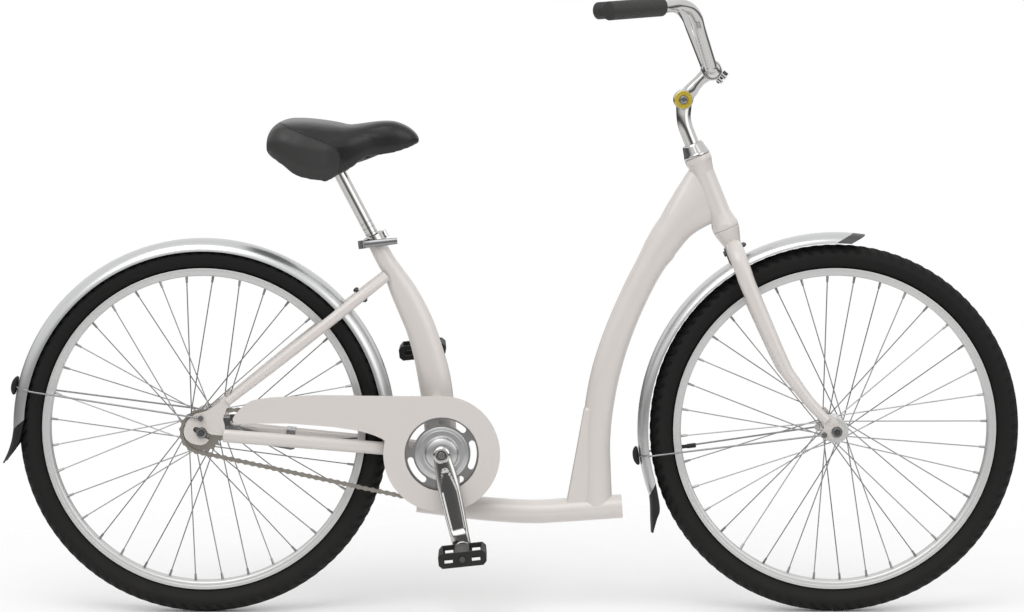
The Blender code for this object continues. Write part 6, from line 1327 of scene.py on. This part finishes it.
SMALL = (
    ("pedal_axle_right", "crank", "dark", "dark_steel", 0.0003),
    ("pedal_axle_left", "crank", "dark", "dark_steel", 0.0003),
    ("pedal_right", "pedal_right", "plastic", "black_plastic", 0.0006),
    ("pedal_left", "pedal_left", "plastic", "black_plastic", 0.0006),
    ("seat_collar", "frame", "chrome", "polished_metal", 0.0004),
    ("saddle_clamp", "clamp", "dark", "dark_steel", 0.0005),
    ("seat_lever", "lever", "spoke", "dark_steel", 0.0005),
    ("saddle_base", "saddle", "plastic", "black_plastic", 0.0005),
    ("bar_clamp_bolt", "stem", "dark", "dark_steel", 0.0003),
    ("front_axle_nut_right", "steering", "spoke", "dark_steel", 0.0003),
    ("front_axle_nut_left", "steering", "spoke", "dark_steel", 0.0003),
    ("rear_axle_nut_right", "frame", "spoke", "dark_steel", 0.0003),
    ("rear_axle_nut_left", "frame", "spoke", "dark_steel", 0.0003),
    ("brake_arm", "frame", "spoke", "dark_steel", 0.0003),
    ("brake_arm_clip", "frame", "spoke", "dark_steel", 0.0003),
    ("guard_bracket", "frame", "dark", "dark_steel", 0.0003),
)


def small_parts(names):
    """The small pieces of one group."""
    made = finishes()
    for node, body, look, slot, bevel in SMALL:
        if node in names:
            refined(node, body, made[look], bevel)


def inner_parts():
    """Finishes for the solids that stay as they are: axles, bearings and the spindle."""
    made = finishes()
    for name in ("front_axle", "rear_axle", "headset_bearing_upper", "headset_bearing_lower",
                 "bottom_bracket_cartridge", "bb_spindle"):
        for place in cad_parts[name].material_slots:
            place.material = made["dark"]


# Stage

FLOOR_CLEAR_FROM, FLOOR_CLEAR_AT = 0.35, 1.6
BAND_R = 9
BAND_MIDDLE = 0.2
CAMERA_AT = (-0.019, -5.9, 1.065)
CAMERA_AIM = (0.00175, 0, 0.544)
CAMERA_LENS = 118.0
PHOTO_SIZE = (1024, 612)


def fading_floor():
    """A pale floor that turns clear away from the bicycle: clear = smooth step of the distance from the middle."""
    material = bpy.data.materials.new("floor")
    material.use_nodes = True
    tree = material.node_tree
    shader = tree.nodes["Principled BSDF"]
    feed(tree, shader, {"Base Color": (0.92, 0.92, 0.92, 1.0), "Roughness": 0.9, "Specular IOR Level": 0.1})
    place = add_node(tree, "TexCoord").outputs["Object"]
    flat = add_node(tree, "VectorMath", {0: place, 1: (0.8, 1.0, 0.0)}, operation="MULTIPLY")
    far = add_node(tree, "VectorMath", {0: flat.outputs["Vector"]}, operation="LENGTH")
    fade = add_node(tree, "MapRange", {"From Min": FLOOR_CLEAR_FROM, "From Max": FLOOR_CLEAR_AT,
                                       "Value": far.outputs["Value"]}, interpolation_type="SMOOTHSTEP")
    faded(tree, fade, shader.outputs["BSDF"])
    return material


def faded(tree, fade, look):
    """Leads a look to the material's output, turning clear where the fade says 1."""
    clear = add_node(tree, "BsdfTransparent").outputs["BSDF"]
    mix = add_node(tree, "MixShader", {"Fac": fade.outputs["Result"], 1: look, 2: clear})
    feed(tree, tree.nodes["Material Output"], {"Surface": mix.outputs["Shader"]})


def surroundings():
    """A white backdrop for the camera, gloss and glass, and a light that is softer toward the horizon."""
    world = bpy.data.worlds.new("studio")
    bpy.context.scene.world = world
    world.use_nodes = True
    tree = world.node_tree
    tree.nodes.clear()
    place = add_node(tree, "TexCoord")
    split = add_node(tree, "SeparateXYZ", {0: place.outputs["Generated"]})
    height = add_node(tree, "MapRange", {"From Min": -1.0, "Value": split.outputs["Z"]})
    ramp = add_node(tree, "ValToRGB", {"Fac": height.outputs["Result"]})
    stops = ((0.0, 0.62), (0.36, 0.80), (0.46, 0.10), (0.53, 0.14), (0.66, 0.90), (1.0, 1.0))
    while len(ramp.color_ramp.elements) < len(stops):
        ramp.color_ramp.elements.new(0.5)
    for element, (where, value) in zip(ramp.color_ramp.elements, stops):
        element.position = where
        element.color = (value, value, value, 1.0)
    light = add_node(tree, "Background", {"Color": ramp.outputs["Color"], "Strength": 0.95})
    white = add_node(tree, "Background", {"Color": (1.0, 1.0, 1.0, 1.0)})
    rays = add_node(tree, "LightPath").outputs
    seen = math_node(tree, "MAXIMUM", rays["Is Camera Ray"], rays["Is Transmission Ray"])
    seen = math_node(tree, "MAXIMUM", seen, rays["Is Glossy Ray"])
    mix = add_node(tree, "MixShader", {"Fac": seen, 1: light.outputs["Background"], 2: white.outputs["Background"]})
    add_node(tree, "OutputWorld", {"Surface": mix.outputs["Shader"]})


def reflected_band():
    """A dark studio card all round, which only reflections see, so that polished metal keeps its dark lines.

    It is (r cos a, r sin a, z), and turns clear above and below with the distance from its middle height.
    """
    a = np.linspace(0, 2 * np.pi, 64, endpoint=False)[:, None]
    z = np.linspace(-2.6, 3.0, 2)[None, :]
    points = np.stack(np.broadcast_arrays(BAND_R * np.cos(a), BAND_R * np.sin(a), z), -1).reshape(-1, 3)
    mesh = bpy.data.meshes.new("reflected_band")
    mesh.from_pydata(points.tolist(), [], grid_faces(64, 2, True, False))
    material = bpy.data.materials.new("reflected_band")
    material.use_nodes = True
    tree = material.node_tree
    tree.nodes.remove(tree.nodes["Principled BSDF"])
    place = add_node(tree, "TexCoord").outputs["Object"]
    height = add_node(tree, "SeparateXYZ", {0: place}).outputs["Z"]
    away = math_node(tree, "ABSOLUTE", math_node(tree, "SUBTRACT", height, BAND_MIDDLE), 0.0)
    fade = add_node(tree, "MapRange", {"From Min": 0.5, "From Max": 2.3, "Value": away})
    faded(tree, fade, add_node(tree, "Emission", {"Color": (0.11, 0.11, 0.11, 1.0)}).outputs["Emission"])
    mesh.materials.append(material)
    obj = bpy.data.objects.new("reflected_band", mesh)
    obj.visible_camera = obj.visible_diffuse = obj.visible_shadow = obj.visible_transmission = False
    bpy.context.scene.collection.objects.link(obj)


def area_light(name, at, aim, size, power):
    """A square soft light that looks at a point."""
    data = bpy.data.lights.new(name, "AREA")
    data.size = size
    data.energy = power
    obj = bpy.data.objects.new(name, data)
    obj.location = at
    obj.rotation_euler = (Vector(aim) - Vector(at)).to_track_quat("-Z", "Y").to_euler()
    bpy.context.scene.collection.objects.link(obj)


def stage():
    """Floor, lights, backdrop and camera."""
    scene = bpy.context.scene
    floor = bpy.data.meshes.new("floor")
    cells = np.linspace(-3, 3, 13)
    points = np.stack(np.meshgrid(cells, cells, indexing="ij"), -1).reshape(-1, 2)
    points = np.column_stack([points, np.zeros(len(points))])
    floor.from_pydata(points.tolist(), [], grid_faces(13, 13, False, False))
    obj = bpy.data.objects.new("floor", floor)
    scene.collection.objects.link(obj)
    obj.data.materials.append(fading_floor())
    surroundings()
    reflected_band()
    area_light("key", (-1.5, -3.5, 4.5), (0, 0, 0.4), 4.0, 105.0)
    area_light("fill", (3.0, -3.0, 2.0), (0, 0, 0.5), 3.0, 30.0)
    data = bpy.data.cameras.new("camera")
    data.lens = CAMERA_LENS
    data.sensor_width = 36.0
    camera = bpy.data.objects.new("camera", data)
    camera.location = CAMERA_AT
    camera.rotation_euler = (Vector(CAMERA_AIM) - camera.location).to_track_quat("-Z", "Y").to_euler()
    scene.collection.objects.link(camera)
    scene.camera = camera
    scene.render.resolution_x, scene.render.resolution_y = PHOTO_SIZE
    scene.view_settings.view_transform = "Standard"


# Add-on

class BicycleColours(bpy.types.PropertyGroup):
    """Colours of the painted pieces."""
    frame_colour: bpy.props.FloatVectorProperty(
        name="Frame", description="Paint of the frame, fork and chain guard", subtype="COLOR", size=3, min=0.0,
        max=1.0, default=(0.68, 0.637, 0.606))
    mudguard_colour: bpy.props.FloatVectorProperty(
        name="Mudguards", description="Paint of both mudguards", subtype="COLOR", size=3, min=0.0, max=1.0,
        default=(0.60, 0.605, 0.605))


class BicycleSizes(bpy.types.PropertyGroup):
    """Sizes of details that don't change the solids."""
    tread_depth: bpy.props.FloatProperty(
        name="Tread depth", description="How deep the tyres' grooves are", unit="LENGTH", min=0.0, max=0.003,
        default=0.0021)
    spoke_radius: bpy.props.FloatProperty(
        name="Spoke radius", description="Half the thickness of a spoke", unit="LENGTH", min=0.0005, max=0.0015,
        default=0.00105)
    rib_depth: bpy.props.FloatProperty(
        name="Grip ribs", description="How deep the grooves of the grips are", unit="LENGTH", min=0.0, max=0.001,
        default=0.00055)


class BICYCLE_OT_front_wheel(bpy.types.Operator):
    """Builds the front tyre, rim, hub and spokes."""
    bl_idname = "bicycle.front_wheel"
    bl_label = "Front wheel"

    def execute(self, context):
        front_wheel()
        return {"FINISHED"}


class BICYCLE_OT_rear_wheel(bpy.types.Operator):
    """Builds the rear tyre, rim, hub and spokes."""
    bl_idname = "bicycle.rear_wheel"
    bl_label = "Rear wheel"

    def execute(self, context):
        rear_wheel()
        return {"FINISHED"}


class BICYCLE_OT_mudguards(bpy.types.Operator):
    """Builds both mudguards with flaps, stays and fixings."""
    bl_idname = "bicycle.mudguards"
    bl_label = "Mudguards"

    def execute(self, context):
        mudguards()
        return {"FINISHED"}


class BICYCLE_OT_drive(bpy.types.Operator):
    """Builds the chainring, sprocket and chain."""
    bl_idname = "bicycle.drive"
    bl_label = "Chain drive"

    def execute(self, context):
        drive()
        return {"FINISHED"}


class BICYCLE_OT_cranks(bpy.types.Operator):
    """Builds the cranks and dresses the pedals and their axles."""
    bl_idname = "bicycle.cranks"
    bl_label = "Cranks and pedals"

    def execute(self, context):
        cranks()
        small_parts(("pedal_axle_right", "pedal_axle_left", "pedal_right", "pedal_left"))
        return {"FINISHED"}


class BICYCLE_OT_main_frame(bpy.types.Operator):
    """Builds the frame's tubes."""
    bl_idname = "bicycle.main_frame"
    bl_label = "Main frame"

    def execute(self, context):
        main_frame()
        return {"FINISHED"}


class BICYCLE_OT_rear_stays(bpy.types.Operator):
    """Builds the stays, dropouts and bridges."""
    bl_idname = "bicycle.rear_stays"
    bl_label = "Rear stays"

    def execute(self, context):
        rear_stays()
        return {"FINISHED"}


class BICYCLE_OT_chain_guard(bpy.types.Operator):
    """Builds the pan over the chain."""
    bl_idname = "bicycle.chain_guard"
    bl_label = "Chain guard"

    def execute(self, context):
        chain_guard()
        small_parts(("guard_bracket",))
        return {"FINISHED"}


class BICYCLE_OT_fork(bpy.types.Operator):
    """Builds the fork."""
    bl_idname = "bicycle.fork"
    bl_label = "Fork"

    def execute(self, context):
        fork()
        return {"FINISHED"}


class BICYCLE_OT_stem(bpy.types.Operator):
    """Builds the stem, its ring, its bolts and the headset's cone."""
    bl_idname = "bicycle.stem"
    bl_label = "Stem"

    def execute(self, context):
        stem()
        small_parts(("bar_clamp_bolt",))
        return {"FINISHED"}


class BICYCLE_OT_handlebar(bpy.types.Operator):
    """Builds the handlebar and both grips."""
    bl_idname = "bicycle.handlebar"
    bl_label = "Handlebar"

    def execute(self, context):
        handlebar()
        return {"FINISHED"}


class BICYCLE_OT_seat_post(bpy.types.Operator):
    """Builds the post and dresses its collar, lever and clamp."""
    bl_idname = "bicycle.seat_post"
    bl_label = "Seat post"

    def execute(self, context):
        seat_post()
        small_parts(("seat_collar", "seat_lever", "saddle_clamp"))
        return {"FINISHED"}


class BICYCLE_OT_saddle(bpy.types.Operator):
    """Builds the padded saddle, its piping and rails."""
    bl_idname = "bicycle.saddle"
    bl_label = "Saddle"

    def execute(self, context):
        saddle()
        small_parts(("saddle_base",))
        return {"FINISHED"}


class BICYCLE_OT_fixings(bpy.types.Operator):
    """Dresses axle nuts, brake arm and inner parts."""
    bl_idname = "bicycle.fixings"
    bl_label = "Axles and fixings"

    def execute(self, context):
        small_parts(("front_axle_nut_right", "front_axle_nut_left", "rear_axle_nut_right", "rear_axle_nut_left",
                     "brake_arm", "brake_arm_clip"))
        inner_parts()
        return {"FINISHED"}


class BICYCLE_OT_stage(bpy.types.Operator):
    """Builds the floor, lights, backdrop and camera."""
    bl_idname = "bicycle.stage"
    bl_label = "Stage"

    def execute(self, context):
        stage()
        return {"FINISHED"}


OPERATORS = (
    BICYCLE_OT_front_wheel,
    BICYCLE_OT_rear_wheel,
    BICYCLE_OT_mudguards,
    BICYCLE_OT_drive,
    BICYCLE_OT_cranks,
    BICYCLE_OT_main_frame,
    BICYCLE_OT_rear_stays,
    BICYCLE_OT_chain_guard,
    BICYCLE_OT_fork,
    BICYCLE_OT_stem,
    BICYCLE_OT_handlebar,
    BICYCLE_OT_seat_post,
    BICYCLE_OT_saddle,
    BICYCLE_OT_fixings,
    BICYCLE_OT_stage,
)


class BICYCLE_PT_panel(bpy.types.Panel):
    """Lists the bicycle's pieces, sizes and colours."""
    bl_idname = "BICYCLE_PT_panel"
    bl_label = "Bicycle"
    bl_space_type = "VIEW_3D"
    bl_region_type = "UI"
    bl_category = "Bicycle"

    def draw(self, context):
        layout = self.layout
        colours = context.scene.bicycle_colours
        sizes = context.scene.bicycle_sizes
        for group_of, names in ((colours, ("frame_colour", "mudguard_colour")),
                                (sizes, ("tread_depth", "spoke_radius", "rib_depth"))):
            for name in names:
                layout.prop(group_of, name)
        for operator in OPERATORS:
            layout.operator(operator.bl_idname)


CLASSES = (BicycleColours, BicycleSizes, *OPERATORS, BICYCLE_PT_panel)


def register():
    """Registers the classes and the scene's settings."""
    for cls in CLASSES:
        bpy.utils.register_class(cls)
    bpy.types.Scene.bicycle_colours = bpy.props.PointerProperty(type=BicycleColours)
    bpy.types.Scene.bicycle_sizes = bpy.props.PointerProperty(type=BicycleSizes)


def unregister():
    """Takes the scene's settings and the classes away again."""
    del bpy.types.Scene.bicycle_sizes
    del bpy.types.Scene.bicycle_colours
    for cls in reversed(CLASSES):
        bpy.utils.unregister_class(cls)


def main():
    """Builds every piece and the stage."""
    register()
    for operator in OPERATORS:
        family, name = operator.bl_idname.split(".")
        getattr(getattr(bpy.ops, family), name)()


if __name__ == "__main__":
    main()
